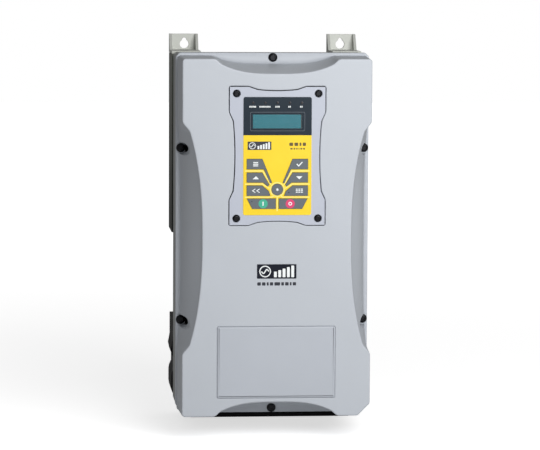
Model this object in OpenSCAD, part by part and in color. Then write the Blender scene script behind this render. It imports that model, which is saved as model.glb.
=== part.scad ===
// Variable frequency drive: a moulded front cover with a keypad on a cast chassis,
// with a finned heatsink, a duct and two fans behind it. The origin is the centre of
// the rear mounting plane, X to the right, Z up, and the front faces -Y.

/* [Enclosure] */
// Width of the cover flange
body_w = 202; // [201:1:206]
// Height of the cover flange
body_h = 378; // [374:1:382]
// Distance from the wall to the front face
body_d = 190; // [188:1:192]
// Thickness of the cover flange
flange_t = 8; // [6:1:9]
// Distance from the wall to the back of the cover flange
flange_back = 125; // [124:1:126]
// Thickness of the cover's walls
cover_wall = 5; // [4.5:0.5:5.5]
// Distance from the wall to the back of the cast chassis
chassis_back = 65; // [64:1:66]
// Thickness of the chassis walls
chassis_wall = 3; // [2.5:0.5:3]

/* [Scallops] */
// Depth of each side scallop at its middle
waist_bite = 20.4; // [18:0.2:22]
// Half the height of each side scallop
waist_half = 119; // [115:1:122]
// Depth of the end scallops at their middle
end_bite = 15; // [12:0.5:16]
// Half the width of the end scallops
end_half = 63; // [60:1:66]
// Size of the chamfer at the lower right corner
corner_chamfer = 12.6; // [10:0.2:14]

/* [Keypad] */
// Width of the keypad bezel
bezel_w = 98; // [97:0.5:99]
// Height of the keypad bezel
bezel_h = 141.6; // [141:0.2:142]
// Height of the keypad's centre above the origin
keypad_z = 85; // [84:1:86]
// How far a key travels when it is pressed
key_travel = 0.8; // [0.5:0.1:0.8]
// Gap round each key
key_gap = 0.3; // [0.25:0.05:0.35]

/* [Cooling] */
// Number of heatsink fins
fin_count = 22; // [16:1:24]
// Thickness of each fin
fin_t = 2; // [1.5:0.5:2.5]
// Width of one fan
fan_w = 59.6; // [58:0.2:59.8]
// Number of blades on each fan
blade_count = 7; // [5:1:9]

/* [Mounting] */
// Distance between the upper keyholes
upper_pitch = 170; // [168:1:172]
// Radius of the round part of each keyhole
keyhole_r = 4.8; // [4.6:0.1:5]
// Distance between the lower mounting holes
lower_pitch = 144; // [140:1:148]
// Radius of the lower mounting holes
lower_hole_r = 3.5; // [3:0.5:4]

/* [Hidden] */
$fn = 48;
eps = 0.01;

// Depths along Y, measured from the wall
face_y = -body_d;
flange_y = -(flange_back + flange_t);
gasket_t = 1.5;
chassis_front_y = -(flange_back - gasket_t);
chassis_back_y = -chassis_back;
chassis_floor = 4;
chassis_floor_y = chassis_back_y - chassis_floor;

// Half sizes of the cover at the flange level and at the face
base_half = [99.3, body_h / 2 - 3.2];
face_half = [97.4, body_h / 2 - 4.6];
cover_corner = 3;
base_waist_bite = 3.4;
base_end_bite = 8.4;
scoop_power = [2, 1.3];
waist_shoulder = 8.5;
shoulder_bite = 7.4;
end_shoulder = 4.8;
end_shoulder_bite = 5;
side_steps = 10;
end_steps = 5;

// Chassis outline
chassis_half = [100, body_h / 2 - 1.5];
m5_shank = 2.45;
m5_hole = 2.5;
m5_head = 4.75;
m5_head_h = 2.75;
cover_screw_reach = 21;
cover_screws_at = [
    [-95.9, 90], [95.9, 90], [-95.9, -90], [95.9, -90],
    [0, chassis_half[1] - 3.5], [0, -chassis_half[1] + 3.5]
];
boss_r = 5;

// Rear section
rail_outer = chassis_half[0] + 1.4;
rail_t = 2.5;
rail_lip = 12;
rail_z = [-5, 185];
rail_back_y = -2;
duct_plate_t = 2;
duct_plate_half_w = 95;
duct_plate_z = [-193, 182];
sink_half_w = 87;
sink_z = [-94, 183];
sink_base_t = 8;
fin_back_y = -8;

// Upper brackets
lug_w = 31;
lug_plate_t = 4;
lug_top = 205.5;
shelf_z = 188.5;
shelf_t = 3;
shelf_front_y = -62;
gusset_t = 2.8;
gusset_depth = [3, 16];
keyhole_z = 194.4;
keyhole_slot = [3.1, 1.9, 6.8];

// Fan tray
tray_z = [-193, -98];
tray_foot_half_w = 93;
tray_inner_half_w = 96;
tray_profile = [
    [-185, 98], [-180.5, 98.6], [-177, 100.9], [-173, 101.6], [-160, 101.6], [-156, 101],
    [-151, 98.8], [-142, 98.8], [-137, 101], [-131, 102.2], [-126, 101.2], [-121, 100.4],
    [-98, 100.4]
];
tray_back_y = -duct_plate_t;
tray_wall = 1.7;
tray_floor = 3;
fan_x = 32;
fan_h = 25;
fan_y = (chassis_back_y + tray_back_y) / 2;
fan_z = tray_z[0] + tray_floor;
fan_bore = 28.5;
fan_hole_pitch = 25;
m4_shank = 1.95;
m4_hole = 2;
m4_head = 3.8;
m4_head_h = 2.2;
hub_r = 14;
fan_shaft_r = 1.5;
bush_r = 4;
shaft_gap = 0.03;

// Gland plate
gland_half = [88, 26];
gland_y = -94;
gland_top = -chassis_half[1];
gland_depth = 8.5;
gland_plate_t = 4;
power_entry_r = 12.5;
control_entry_r = 8;
power_entries = [-64, -32, 20];
control_entries = [47, 70];

// Boards
board_t = 1.6;
power_board_y = -85.6;
power_board_x = 86;
power_board_z = [-150, 172];
control_board_y = -141.6;
control_board_x = 70;
control_board_z = [20, 158];
standoff_r = 3.5;
m3_shank = 1.45;
m3_hole = 1.5;
power_standoffs_at = [
    for (x = [-79, 79]) for (z = [-142, 10, 164]) [x, z]
];
control_standoffs_at = [for (x = [-63, 63]) for (z = [30, 150]) [x, z]];
capacitor_r = 15;
capacitor_h = 45;
module_h = chassis_back_y - power_board_y - board_t - 1;

// Keypad
bezel_y = face_y - 1;
recess_y = face_y + 3;
bezel_rim_y = recess_y - 0.6;
bezel_plate_t = 2;
post_r = 2.5;
recess_gap = 1;
keypad_gasket_grow = 0.7;
bezel_dip = [4.4, 6.0];
bezel_shoulder_dip = [3.2, 4.2];
bezel_dip_half = [29.5, 45];
bezel_dip_slope = 9;
bezel_dip_steps = 4;
keypad_screws_at = [for (x = [-42, 42]) for (z = [-64, 64]) [x, keypad_z + z]];
keypad_box_half = [35, 61];
keypad_box_wall = 2;
keypad_box_back_y = -176;
overlay_w = 70;
overlay_h = 121;
overlay_t = 0.4;
overlay_corner = 2;
overlay_y = bezel_y - overlay_t;
display_at = [0, 35.5];
window_half = [27.6, 9.3];
display_half = [25.9, 7.6];
window_t = 0.8;
lights_z = 54.5;
lights_x = [-25, -12.5, 0, 12.5, 25];
light_r = 1.2;
keypad_board_y = -184;

// Keys, measured from the centre of the overlay
key_out = 31.3;
key_in = 15.6;
key_rise = 0.8;
key_h = 10.3;
key_tops = [-3, -16.9, -30.2, -43.6];
key_foot = 0.7;
key_foot_t = 1.6;
key_back_y = bezel_y + bezel_plate_t + 0.2 + key_foot_t;
center_key_z = -34.2;
center_key_r = 5.8;
center_ring_r = 7.6;
plunger_r = 2;
dome_h = 0.9;

// Label panel and badge on the face
panel_w = 122.6;
panel_h = 74.8;
panel_at = [-0.1, -127.9];
panel_proud = 0.8;
panel_recess = 1;
panel_gap = 0.4;
badge_w = 40.6;
badge_h = 14.8;
badge_t = 0.4;
badge_at = [0, -33.7];

// Screws and holes through the rear section
rail_screw_x = 94;
rail_screws_z = [20, 90, 160];
plate_screw_x = 91.5;
plate_screws_z = [15, 85, 145];
tray_screws_z = [-182, -112];
bracket_leg_x = 95.2;
bracket_leg_y = [-28, -5];
bracket_leg_z = 160;
bracket_bolt_z = 173;
bracket_bolts_y = [-22, -10];
lower_hole_z = -200;
sink_screws_at = [for (x = [-78, 78]) for (z = [-84, -4, 84, 176]) [x, z]];
earth_at = [70, -168];

// Power modules, terminals and the flat cable
inverter_at = [0, 70];
inverter_size = [100, 46];
rectifier_at = [0, 128];
rectifier_size = [70, 34];
terminal_half_w = 68;
terminal_count = 8;
terminal_h = 24;
terminal_z = -128;
ribbon_z = [110, 90];

// Entries in the gland plate: place and radius, and its screws
entries = concat(
    [for (x = power_entries) [x, power_entry_r]],
    [for (x = control_entries) [x, control_entry_r]]
);
gland_screws_at = [for (x = [-80, 80]) for (y = [-19, 19]) [x, y]];
window_seat = 0.6;
plunger_tip_y = keypad_board_y - dome_h - 0.1 - key_travel;

function lerp(a, b, t) = a + (b - a) * t;

// How far the scooped wall has moved in, from 0 at the flange to 1 at the face
function scoop(t) = 1 - pow(1 - pow(t, scoop_power[0]), scoop_power[1]);

// Depth of a side scallop at the face, at a height z
function face_side_bite(z) =
    let (inner = waist_half - waist_shoulder)
    abs(z) >= waist_half ? 0
    : abs(z) > inner ? shoulder_bite * (waist_half - abs(z)) / waist_shoulder
    : waist_bite - (waist_bite - shoulder_bite) * pow(abs(z) / inner, 2.5);

// Depth of a side scallop at the flange, at a height z
function base_side_bite(z) =
    abs(z) >= waist_half ? 0 : base_waist_bite * (1 - pow(z / waist_half, 4));

// Depth of an end scallop at the face, at a distance x from the middle
function face_end_bite(x) =
    let (inner = end_half - end_shoulder)
    abs(x) >= end_half ? 0
    : abs(x) > inner ? end_shoulder_bite * (end_half - abs(x)) / end_shoulder
    : end_bite - (end_bite - end_shoulder_bite) * pow(abs(x) / inner, 3);

// Depth of an end scallop at the flange, at a distance x from the middle
function base_end_bite_at(x) =
    abs(x) >= end_half ? 0 : base_end_bite * (1 - pow(x / end_half, 4));

// Outline of the raised cover at depth t, from the lower right corner anticlockwise
function cover_ring(t, wall) =
    let (
        half_w = lerp(base_half[0], face_half[0], t) - wall,
        half_h = lerp(base_half[1], face_half[1], t) - wall,
        corner_z = half_h - cover_corner,
        corner_x = half_w - cover_corner,
        inner_z = waist_half - waist_shoulder,
        inner_x = end_half - end_shoulder,
        side = concat(
            [-waist_half],
            [for (i = [-side_steps:side_steps]) inner_z * i / side_steps],
            [waist_half]
        ),
        end = concat(
            [-end_half],
            [for (i = [-end_steps:end_steps]) inner_x * i / end_steps],
            [end_half]
        ),
        side_x = function (z) half_w - lerp(base_side_bite(z), face_side_bite(z), scoop(t)),
        end_z = function (x) half_h - lerp(base_end_bite_at(x), face_end_bite(x), scoop(t))
    )
    concat(
        [[half_w, corner_chamfer - half_h]],
        [for (z = side) [side_x(z), z]],
        [[half_w, corner_z], [corner_x, half_h]],
        [for (i = [len(end) - 1:-1:0]) [end[i], end_z(end[i])]],
        [[-corner_x, half_h], [-half_w, corner_z]],
        [for (i = [len(side) - 1:-1:0]) [-side_x(side[i]), side[i]]],
        [[-half_w, -corner_z], [-corner_x, -half_h]],
        [for (x = end) [x, -end_z(x)]],
        [[half_w - corner_chamfer, -half_h]]
    );

// Triangles that close one end of the scooped body: strips across the waist, and a fan
// round a hub at each end. The ring's points start at first, and sides is how many of
// them are on each side.
function cap(first, count, sides, low_hub, high_hub) =
    let (
        right = function (i) first + i,
        left = function (i) first + count / 2 + 1 + sides - i,
        top = sides - 2
    )
    concat(
        [
            for (i = [3:top - 1])
            for (face = [
                [right(i), right(i + 1), left(i + 1)], [right(i), left(i + 1), left(i)]
            ]) face
        ],
        [
            [low_hub, right(2), right(3)], [low_hub, right(3), left(3)],
            [low_hub, left(3), left(2)], [right(top), right(top + 1), high_hub],
            [right(top), high_hub, left(top)], [left(top), high_hub, left(top + 1)]
        ],
        [for (k = [right(top + 1):left(top + 1) - 1]) [high_hub, k, k + 1]],
        [
            for (k = [left(2) - first:count + 1])
            [low_hub, first + k % count, first + (k + 1) % count]
        ]
    );

// The scooped body between two depths: the raised cover, or the space inside it
module scooped_body(y_base, y_face, wall) {
    rings = 6;
    levels = [for (i = [0:rings]) i / rings];
    count = len(cover_ring(0, wall));
    side_count = 2 * side_steps + 3;
    hub_z = waist_half - waist_shoulder;
    ring_points = [
        for (t = levels) for (p = cover_ring(t, wall))
        [p[0], lerp(y_base, y_face, t), p[1]]
    ];
    hubs = [for (y = [y_base, y_face]) for (z = [-hub_z, hub_z]) [0, y, z]];
    hub = len(ring_points);
    walls = [
        for (r = [0:rings - 1]) for (i = [0:count - 1])
        let (j = (i + 1) % count, low = r * count, high = (r + 1) * count)
        for (face = [[low + i, high + i, high + j], [low + i, high + j, low + j]]) face
    ];
    base = cap(0, count, side_count, hub, hub + 1);
    face = [
        for (f = cap(rings * count, count, side_count, hub + 2, hub + 3)) [f[2], f[1], f[0]]
    ];
    polyhedron(concat(ring_points, hubs), concat(walls, base, face));
}

// A block between two opposite corners
module block(from, to) {
    translate(from)
        cube(to - from);
}

// A flat outline in X and Z made solid between two depths
module slab(y_front, y_back) {
    translate([0, y_back, 0])
        rotate([90, 0, 0])
            linear_extrude(y_back - y_front)
                children();
}

// A rod or a bore along Y
module rod_y(r, y_front, y_back, at) {
    translate([at[0], y_back, at[1]])
        rotate([90, 0, 0])
            cylinder(h = y_back - y_front, r = r);
}

// A rectangle with chamfered corners: upper and lower sizes
module cut_rectangle(half, upper, lower) {
    polygon([
        [half[0], lower - half[1]], [half[0], half[1] - upper],
        [half[0] - upper, half[1]], [upper - half[0], half[1]],
        [-half[0], half[1] - upper], [-half[0], lower - half[1]],
        [lower - half[0], -half[1]], [half[0] - lower, -half[1]]
    ]);
}

// A button-head screw with a hexagon socket, its head above Z = 0
module button_screw(head_r, head_h, shank_r, reach) {
    dome = [for (a = [0:15:90]) [head_r * cos(a), 0.25 * head_h + 0.75 * head_h * sin(a)]];
    difference() {
        union() {
            rotate_extrude()
                polygon(concat([[0, 0], [head_r, 0]], dome));
            translate([0, 0, -reach])
                cylinder(h = reach + eps, r = shank_r);
        }
        translate([0, 0, 0.35 * head_h])
            cylinder(h = head_h, r = 0.6 * head_r, $fn = 6);
    }
}

module front_screw(head_r, head_h, shank_r, reach, y, at) {
    translate([at[0], y, at[1]])
        rotate([90, 0, 0])
            button_screw(head_r, head_h, shank_r, reach);
}

module rear_screw(head_r, head_h, shank_r, reach, y, at) {
    translate([at[0], y, at[1]])
        rotate([-90, 0, 0])
            button_screw(head_r, head_h, shank_r, reach);
}

// Depth of the dip in one edge of the bezel, at a distance u from the edge's middle.
// The axis is 0 for the top and bottom edges and 1 for the sides.
function bezel_dip_at(u, axis) =
    let (inner = bezel_dip_half[axis] - bezel_dip_slope)
    abs(u) >= bezel_dip_half[axis] ? 0
    : bezel_dip[axis] - (bezel_dip[axis] - bezel_shoulder_dip[axis]) * pow(u / inner, 2);

// Places along one edge of the bezel where its outline has a point
function bezel_steps(axis) =
    let (inner = bezel_dip_half[axis] - bezel_dip_slope)
    concat(
        [-bezel_dip_half[axis]],
        [for (i = [-bezel_dip_steps:bezel_dip_steps]) inner * i / bezel_dip_steps],
        [bezel_dip_half[axis]]
    );

// A flat plate seen from the front, with a shallow dip in each edge, like the keypad bezel
module bezel_outline(grow) {
    half = [bezel_w / 2 + grow, bezel_h / 2 + grow];
    right = concat(
        [[half[0], -half[1]]],
        [for (z = bezel_steps(1)) [half[0] - bezel_dip_at(z, 1), z]],
        [[half[0], half[1]]]
    );
    top = [for (x = bezel_steps(0)) [-x, half[1] - bezel_dip_at(x, 0)]];
    polygon(concat(
        right, top,
        [for (p = right) -p],
        [for (p = top) -p]
    ));
}

// Outlines of the keys on the left, measured from the centre of the overlay
menu_outline = [
    [-key_out, key_tops[0]], [-key_in, key_tops[0]], [-5.7, -27.0], [-7.3, -27.6],
    [-13.9, key_tops[0] - key_h], [-key_out, key_tops[0] - key_h]
];
up_outline = [
    [-key_out, key_tops[1]], [-key_in, key_tops[1]], [-8.3, -29.4], [-9.7, -30.8],
    [-14.8, key_tops[1] - key_h + 0.3], [-key_out, key_tops[1] - key_h + 0.3]
];
shift_outline = [
    [-key_out, key_tops[2]], [-key_in, key_tops[2]], [-8.8, -36.0],
    [-7.3, key_tops[2] - key_h], [-key_out, key_tops[2] - key_h]
];
run_outline = [
    [-key_out + 0.4, key_tops[3]], [-1.6, key_tops[3]],
    [-1.6, key_tops[3] - key_h], [-25.6, key_tops[3] - key_h]
];

function mirrored(outline) = [for (i = [len(outline) - 1:-1:0]) [-outline[i][0], outline[i][1]]];

// Where the plunger behind each key stands
menu_plunger = [-23, key_tops[0] - key_h / 2];
up_plunger = [-23, key_tops[1] - key_h / 2];
shift_plunger = [-20, key_tops[2] - key_h / 2];
run_plunger = [-14, key_tops[3] - key_h / 2];
plungers = concat(
    [menu_plunger, up_plunger, shift_plunger, run_plunger, [0, center_key_z]],
    [for (p = [menu_plunger, up_plunger, shift_plunger, run_plunger]) [-p[0], p[1]]]
);

module on_keypad() {
    translate([0, keypad_z, 0])
        children();
}

// All the holes that the keys pass through
module key_holes() {
    for (outline = [menu_outline, up_outline, shift_outline, run_outline])
        for (side = [outline, mirrored(outline)])
            offset(delta = key_gap)
                polygon(side);
}

// Solid of one key with an outline: its cap, its foot behind the bezel, and its plunger
module outlined_key(outline, plunger) {
    foot_front = key_back_y - key_foot_t;
    foot = [
        plunger[0] < 0 ? max(-key_out - key_foot, plunger[0] - 9) : plunger[0] - 6,
        plunger[0] < 0 ? plunger[0] + 6 : min(key_out + key_foot, plunger[0] + 9)
    ];
    color("dimgray") {
        slab(bezel_y - overlay_t - key_rise, foot_front + eps)
            on_keypad()
                polygon(outline);
        block(
            [foot[0], foot_front, keypad_z + plunger[1] - key_h / 2 - key_foot],
            [foot[1], key_back_y, keypad_z + plunger[1] + key_h / 2 + key_foot]
        );
        rod_y(plunger_r, key_back_y - eps, plunger_tip_y, plunger + [0, keypad_z]);
    }
}

// ---------- Cover ----------

module front_cover() {
    color("#b9bfc8")
        difference() {
            union() {
                slab(flange_y, -flange_back)
                    cut_rectangle([body_w / 2, body_h / 2], 4, 9);
                scooped_body(flange_y + eps, face_y, 0);
            }
            difference() {
                union() {
                    scooped_body(flange_y, face_y + cover_wall, cover_wall);
                    slab(flange_y - eps, -flange_back + eps)
                        square([2 * base_half[0] - 16, 2 * base_half[1] - 26], center = true);
                }
                // Pillars round the cover screws and behind the keypad screws
                for (at = cover_screws_at)
                    rod_y(m5_head + 5, face_y, -flange_back, at);
                for (at = keypad_screws_at)
                    rod_y(boss_r, face_y, keypad_box_back_y, at);
            }
            for (at = cover_screws_at) {
                rod_y(m5_head + 2, face_y - eps, flange_y, at);
                rod_y(m5_hole + 0.4, face_y, -flange_back + eps, at);
            }
            // Recess and window for the keypad, and the screw holes round it
            slab(face_y - eps, recess_y)
                on_keypad()
                    bezel_outline(recess_gap);
            slab(face_y, face_y + cover_wall + eps)
                on_keypad()
                    square(2 * keypad_box_half + [0.8, 0.8], center = true);
            for (at = keypad_screws_at)
                rod_y(m4_hole, face_y, recess_y + 9, at);
            // Recess for the blank panel
            slab(face_y - eps, face_y + panel_recess)
                translate(panel_at)
                    square([panel_w, panel_h], center = true);
        }
}

module label_panel() {
    color("#b7bcc5")
        slab(face_y - panel_proud, face_y + panel_recess)
            translate(panel_at)
                square([panel_w - 2 * panel_gap, panel_h - 2 * panel_gap], center = true);
}

module front_badge() {
    color("#1c2029")
        slab(face_y - badge_t, face_y)
            translate(badge_at)
                square([badge_w, badge_h], center = true);
}

module cover_gasket() {
    color("#26282b")
        slab(-flange_back, chassis_front_y)
            difference() {
                cut_rectangle(chassis_half - [0.5, 0.5], 3, 6);
                cut_rectangle(chassis_half - [3, 3], 2, 4);
                for (at = cover_screws_at)
                    translate(at)
                        circle(r = m5_hole + 0.4);
            }
}

module cover_screws() {
    color("#15161a")
        for (at = cover_screws_at)
            front_screw(m5_head, m5_head_h, m5_shank, cover_screw_reach, flange_y, at);
}

// ---------- Chassis and rear frame ----------

module chassis() {
    inside = chassis_half - [chassis_wall, chassis_wall];
    color("#8c8f8d")
        difference() {
            union() {
                difference() {
                    slab(chassis_front_y, chassis_back_y)
                        cut_rectangle(chassis_half, 3, 6);
                    slab(chassis_front_y - eps, chassis_floor_y)
                        cut_rectangle(inside, 2, 4);
                }
                for (at = cover_screws_at)
                    intersection() {
                        rod_y(boss_r, chassis_front_y, chassis_floor_y + eps, at);
                        slab(chassis_front_y, chassis_floor_y + eps)
                            square(2 * chassis_half, center = true);
                    }
            }
            for (at = cover_screws_at)
                rod_y(m5_hole, chassis_front_y - eps, chassis_front_y + 20, at);
            // Windows through which the power modules sit on the heatsink
            slab(chassis_floor_y - eps, chassis_back_y + eps) {
                translate(inverter_at)
                    square(inverter_size + [2, 2], center = true);
                translate(rectifier_at)
                    square(rectifier_size + [2, 2], center = true);
            }
            for (at = sink_screws_at)
                rod_y(m5_hole, chassis_floor_y - eps, chassis_back_y + eps, at);
            for (at = concat(power_standoffs_at, [earth_at]))
                rod_y(m3_hole, chassis_floor_y - eps, chassis_back_y - 1, at);
            for (side = [-1, 1]) for (z = rail_screws_z)
                rod_y(m4_hole, chassis_back_y - 3, chassis_back_y + eps, [side * rail_screw_x, z]);
            for (at = entries)
                translate([at[0], gland_y, gland_top - eps])
                    cylinder(h = chassis_wall + 2 * eps, r = at[1]);
            for (at = gland_screws_at)
                translate([at[0], gland_y + at[1], gland_top - eps])
                    cylinder(h = chassis_wall + 2 * eps, r = m4_hole);
        }
}

// A cast mounting lug: a plate against the wall, a shelf, a foot and two gussets
module top_bracket() {
    x1 = rail_outer;
    x0 = x1 - lug_w;
    color("#a4a6a1")
        difference() {
            union() {
                block([x0, -lug_plate_t, shelf_z - shelf_t], [x1, 0, lug_top]);
                block([x0, shelf_front_y, shelf_z - shelf_t], [x1, 0, shelf_z]);
                block(
                    [bracket_leg_x, bracket_leg_y[0], bracket_leg_z],
                    [x1 - rail_t, bracket_leg_y[1], shelf_z - eps]
                );
                for (x = [x0, x1 - gusset_t])
                    translate([x + gusset_t, 0, 0])
                        rotate([0, -90, 0])
                            linear_extrude(gusset_t)
                                polygon([
                                    [shelf_z - eps, -lug_plate_t + eps],
                                    [lug_top, -lug_plate_t + eps],
                                    [lug_top, -lug_plate_t - gusset_depth[0]],
                                    [shelf_z - eps, -lug_plate_t - gusset_depth[1]]
                                ]);
            }
            keyhole();
            for (y = bracket_bolts_y)
                translate([bracket_leg_x - eps, y, bracket_bolt_z])
                    rotate([0, 90, 0])
                        cylinder(h = 6, r = m5_hole);
        }
}

module keyhole() {
    rod_y(keyhole_r, -lug_plate_t - eps, eps, [upper_pitch / 2, keyhole_z]);
    slab(-lug_plate_t - eps, eps)
        translate([upper_pitch / 2, keyhole_z])
            polygon([
                [-keyhole_slot[0], 3], [keyhole_slot[0], 3],
                [keyhole_slot[1], keyhole_slot[2] - 0.8], [0.6, keyhole_slot[2]],
                [-0.6, keyhole_slot[2]], [-keyhole_slot[1], keyhole_slot[2] - 0.8]
            ]);
}

module left_top_bracket() {
    mirror([1, 0, 0]) top_bracket();
}

module right_top_bracket() {
    top_bracket();
}

module bracket_bolts() {
    color("#6d7072")
        for (side = [-1, 1]) for (y = bracket_bolts_y)
            translate([side * bracket_leg_x, y, bracket_bolt_z])
                rotate([0, -90 * side, 0])
                    button_screw(m5_head, m5_head_h, m5_shank, 5);
}

// A channel of folded sheet down one side, with a lip at the front and at the back
module side_rail() {
    outer = rail_outer;
    color("#3a3d3f")
        difference() {
            union() {
                block([outer - rail_t, chassis_back_y, rail_z[0]], [outer, rail_back_y, rail_z[1]]);
                block(
                    [outer - rail_lip, chassis_back_y, rail_z[0]],
                    [outer, chassis_back_y + rail_t, rail_z[1]]
                );
                block(
                    [outer - rail_lip, rail_back_y - rail_t, rail_z[0]],
                    [outer, rail_back_y, rail_z[1]]
                );
            }
            for (z = rail_screws_z)
                rod_y(m4_hole, chassis_back_y - 1, chassis_back_y + 5, [rail_screw_x, z]);
            for (z = plate_screws_z)
                rod_y(m3_hole, rail_back_y - 4, rail_back_y + 1, [plate_screw_x, z]);
            for (y = bracket_bolts_y)
                translate([outer - rail_t - 1, y, bracket_bolt_z])
                    rotate([0, 90, 0])
                        cylinder(h = rail_t + 2, r = m5_hole);
        }
}

module left_side_rail() {
    mirror([1, 0, 0]) side_rail();
}

module right_side_rail() {
    side_rail();
}

module rail_screws() {
    color("#55585a")
        for (side = [-1, 1]) for (z = rail_screws_z)
            rear_screw(m4_head, m4_head_h, m4_shank, 5.3, chassis_back_y + rail_t,
                [side * rail_screw_x, z]);
}

module duct_plate() {
    color("#a9adb0")
        difference() {
            union() {
                block(
                    [-duct_plate_half_w, -duct_plate_t, duct_plate_z[0]],
                    [duct_plate_half_w, 0, duct_plate_z[1]]
                );
                for (side = [-1, 1])
                    slab(-duct_plate_t, 0)
                        translate([side * lower_pitch / 2, duct_plate_z[0] - 8 + eps])
                            cut_rectangle([12, 8], 0.01, 5);
            }
            for (side = [-1, 1]) {
                rod_y(lower_hole_r, -duct_plate_t - eps, eps, [side * lower_pitch / 2, lower_hole_z]);
                for (z = concat(plate_screws_z, tray_screws_z)) {
                    rod_y(m3_hole, -duct_plate_t - eps, eps, [side * plate_screw_x, z]);
                    translate([side * plate_screw_x, eps, z])
                        rotate([90, 0, 0])
                            cylinder(h = 1.4, r1 = 2.9, r2 = m3_hole);
                }
            }
        }
}

module duct_plate_screws() {
    color("#c3c6c8")
        for (side = [-1, 1]) for (z = concat(plate_screws_z, tray_screws_z))
            translate([side * plate_screw_x, -0.1, z])
                rotate([90, 0, 0])
                    difference() {
                        union() {
                            cylinder(h = 1.25, r1 = 2.7, r2 = m3_shank);
                            cylinder(h = 4, r = m3_shank);
                        }
                        translate([0, 0, -eps])
                            cylinder(h = 0.9, r = 1, $fn = 6);
                    }
}

// ---------- Cooling ----------

module heatsink() {
    pitch = (2 * sink_half_w - fin_t) / (fin_count - 1);
    color("#b4b7b9")
        difference() {
            union() {
                block(
                    [-sink_half_w, chassis_back_y, sink_z[0]],
                    [sink_half_w, chassis_back_y + sink_base_t, sink_z[1]]
                );
                for (i = [0:fin_count - 1])
                    translate([-sink_half_w + i * pitch, 0, 0])
                        block(
                            [0, chassis_back_y + sink_base_t - eps, sink_z[0]],
                            [fin_t, fin_back_y, sink_z[1]]
                        );
            }
            for (at = sink_screws_at)
                rod_y(m5_hole, chassis_back_y - eps, chassis_back_y + 6, at);
        }
}

module heatsink_screws() {
    color("#8f9294")
        for (at = sink_screws_at)
            front_screw(m5_head, m5_head_h, m5_shank, 9.5, chassis_floor_y, at);
}

// The fan tray, with two shallow bulges down each side
module fan_tray() {
    color("#2a2b2e")
        difference() {
            slab(chassis_back_y, tray_back_y)
                polygon(concat(
                    [[-tray_foot_half_w, tray_z[0]], [tray_foot_half_w, tray_z[0]]],
                    [for (at = tray_profile) [at[1], at[0]]],
                    [for (i = [len(tray_profile) - 1:-1:0]) [-tray_profile[i][1], tray_profile[i][0]]]
                ));
            block(
                [-tray_inner_half_w, chassis_back_y + tray_wall, fan_z],
                [tray_inner_half_w, tray_back_y - tray_wall, tray_z[1] + 1]
            );
            for (x = [-fan_x, fan_x]) {
                translate([x, fan_y, tray_z[0] - 1])
                    cylinder(h = tray_floor + 2, r = fan_bore);
                for (dx = [-fan_hole_pitch, fan_hole_pitch])
                    for (dy = [-fan_hole_pitch, fan_hole_pitch])
                        translate([x + dx, fan_y + dy, tray_z[0] - 1])
                            cylinder(h = tray_floor + 2, r = m4_hole);
            }
            for (side = [-1, 1]) for (z = tray_screws_z)
                rod_y(m3_hole, tray_back_y - tray_wall - 1, tray_back_y + 1,
                    [side * plate_screw_x, z]);
        }
}

module fan_frame(x) {
    hub_z = fan_z + fan_h - 3;
    color("#222326")
        translate([x, fan_y, 0])
            difference() {
                union() {
                    difference() {
                        block([-fan_w / 2, -fan_w / 2, fan_z], [fan_w / 2, fan_w / 2, fan_z + fan_h]);
                        translate([0, 0, fan_z - 1])
                            cylinder(h = fan_h + 2, r = fan_bore);
                    }
                    translate([0, 0, hub_z])
                        cylinder(h = 3, r = hub_r + 1);
                    for (a = [45:90:315])
                        rotate([0, 0, a])
                            block([hub_r, -1.5, hub_z], [fan_bore + 1, 1.5, hub_z + 3]);
                    translate([0, 0, hub_z - 5])
                        cylinder(h = 6, r = bush_r + 1.5);
                }
                translate([0, 0, hub_z - 6])
                    cylinder(h = 10, r = bush_r);
                for (dx = [-fan_hole_pitch, fan_hole_pitch])
                    for (dy = [-fan_hole_pitch, fan_hole_pitch])
                        translate([dx, dy, fan_z - 1])
                            cylinder(h = fan_h + 2, r = m4_hole);
            }
}

module left_fan_frame() {
    fan_frame(-fan_x);
}

module right_fan_frame() {
    fan_frame(fan_x);
}

module fan_bushes() {
    color("#b08d4c")
        for (x = [-fan_x, fan_x])
            translate([x, fan_y, fan_z + fan_h - 8])
                difference() {
                    cylinder(h = 8, r = bush_r);
                    translate([0, 0, -1])
                        cylinder(h = 10, r = fan_shaft_r + shaft_gap);
                }
}

module fan_rotor(x) {
    color("#1b1c1f")
        translate([x, fan_y, fan_z]) {
            difference() {
                translate([0, 0, 2])
                    cylinder(h = fan_h - 6, r = hub_r);
                translate([0, 0, 5])
                    cylinder(h = fan_h, r = hub_r - 2);
            }
            translate([0, 0, 4])
                cylinder(h = fan_h - 5, r = fan_shaft_r);
            for (i = [0:blade_count - 1])
                rotate([0, 0, i * 360 / blade_count])
                    intersection() {
                        translate([hub_r - 1, 0, (fan_h - 5) / 2 + 1])
                            rotate([38, 0, 0])
                                translate([0, -0.8, -14])
                                    cube([fan_bore - hub_r, 1.6, 28]);
                        difference() {
                            translate([0, 0, 2.5])
                                cylinder(h = fan_h - 8, r = fan_bore - 1.2);
                            translate([0, 0, -1])
                                cylinder(h = fan_h, r = hub_r - 1);
                        }
                    }
        }
}

module left_fan_rotor() {
    fan_rotor(-fan_x);
}

module right_fan_rotor() {
    fan_rotor(fan_x);
}

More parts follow.
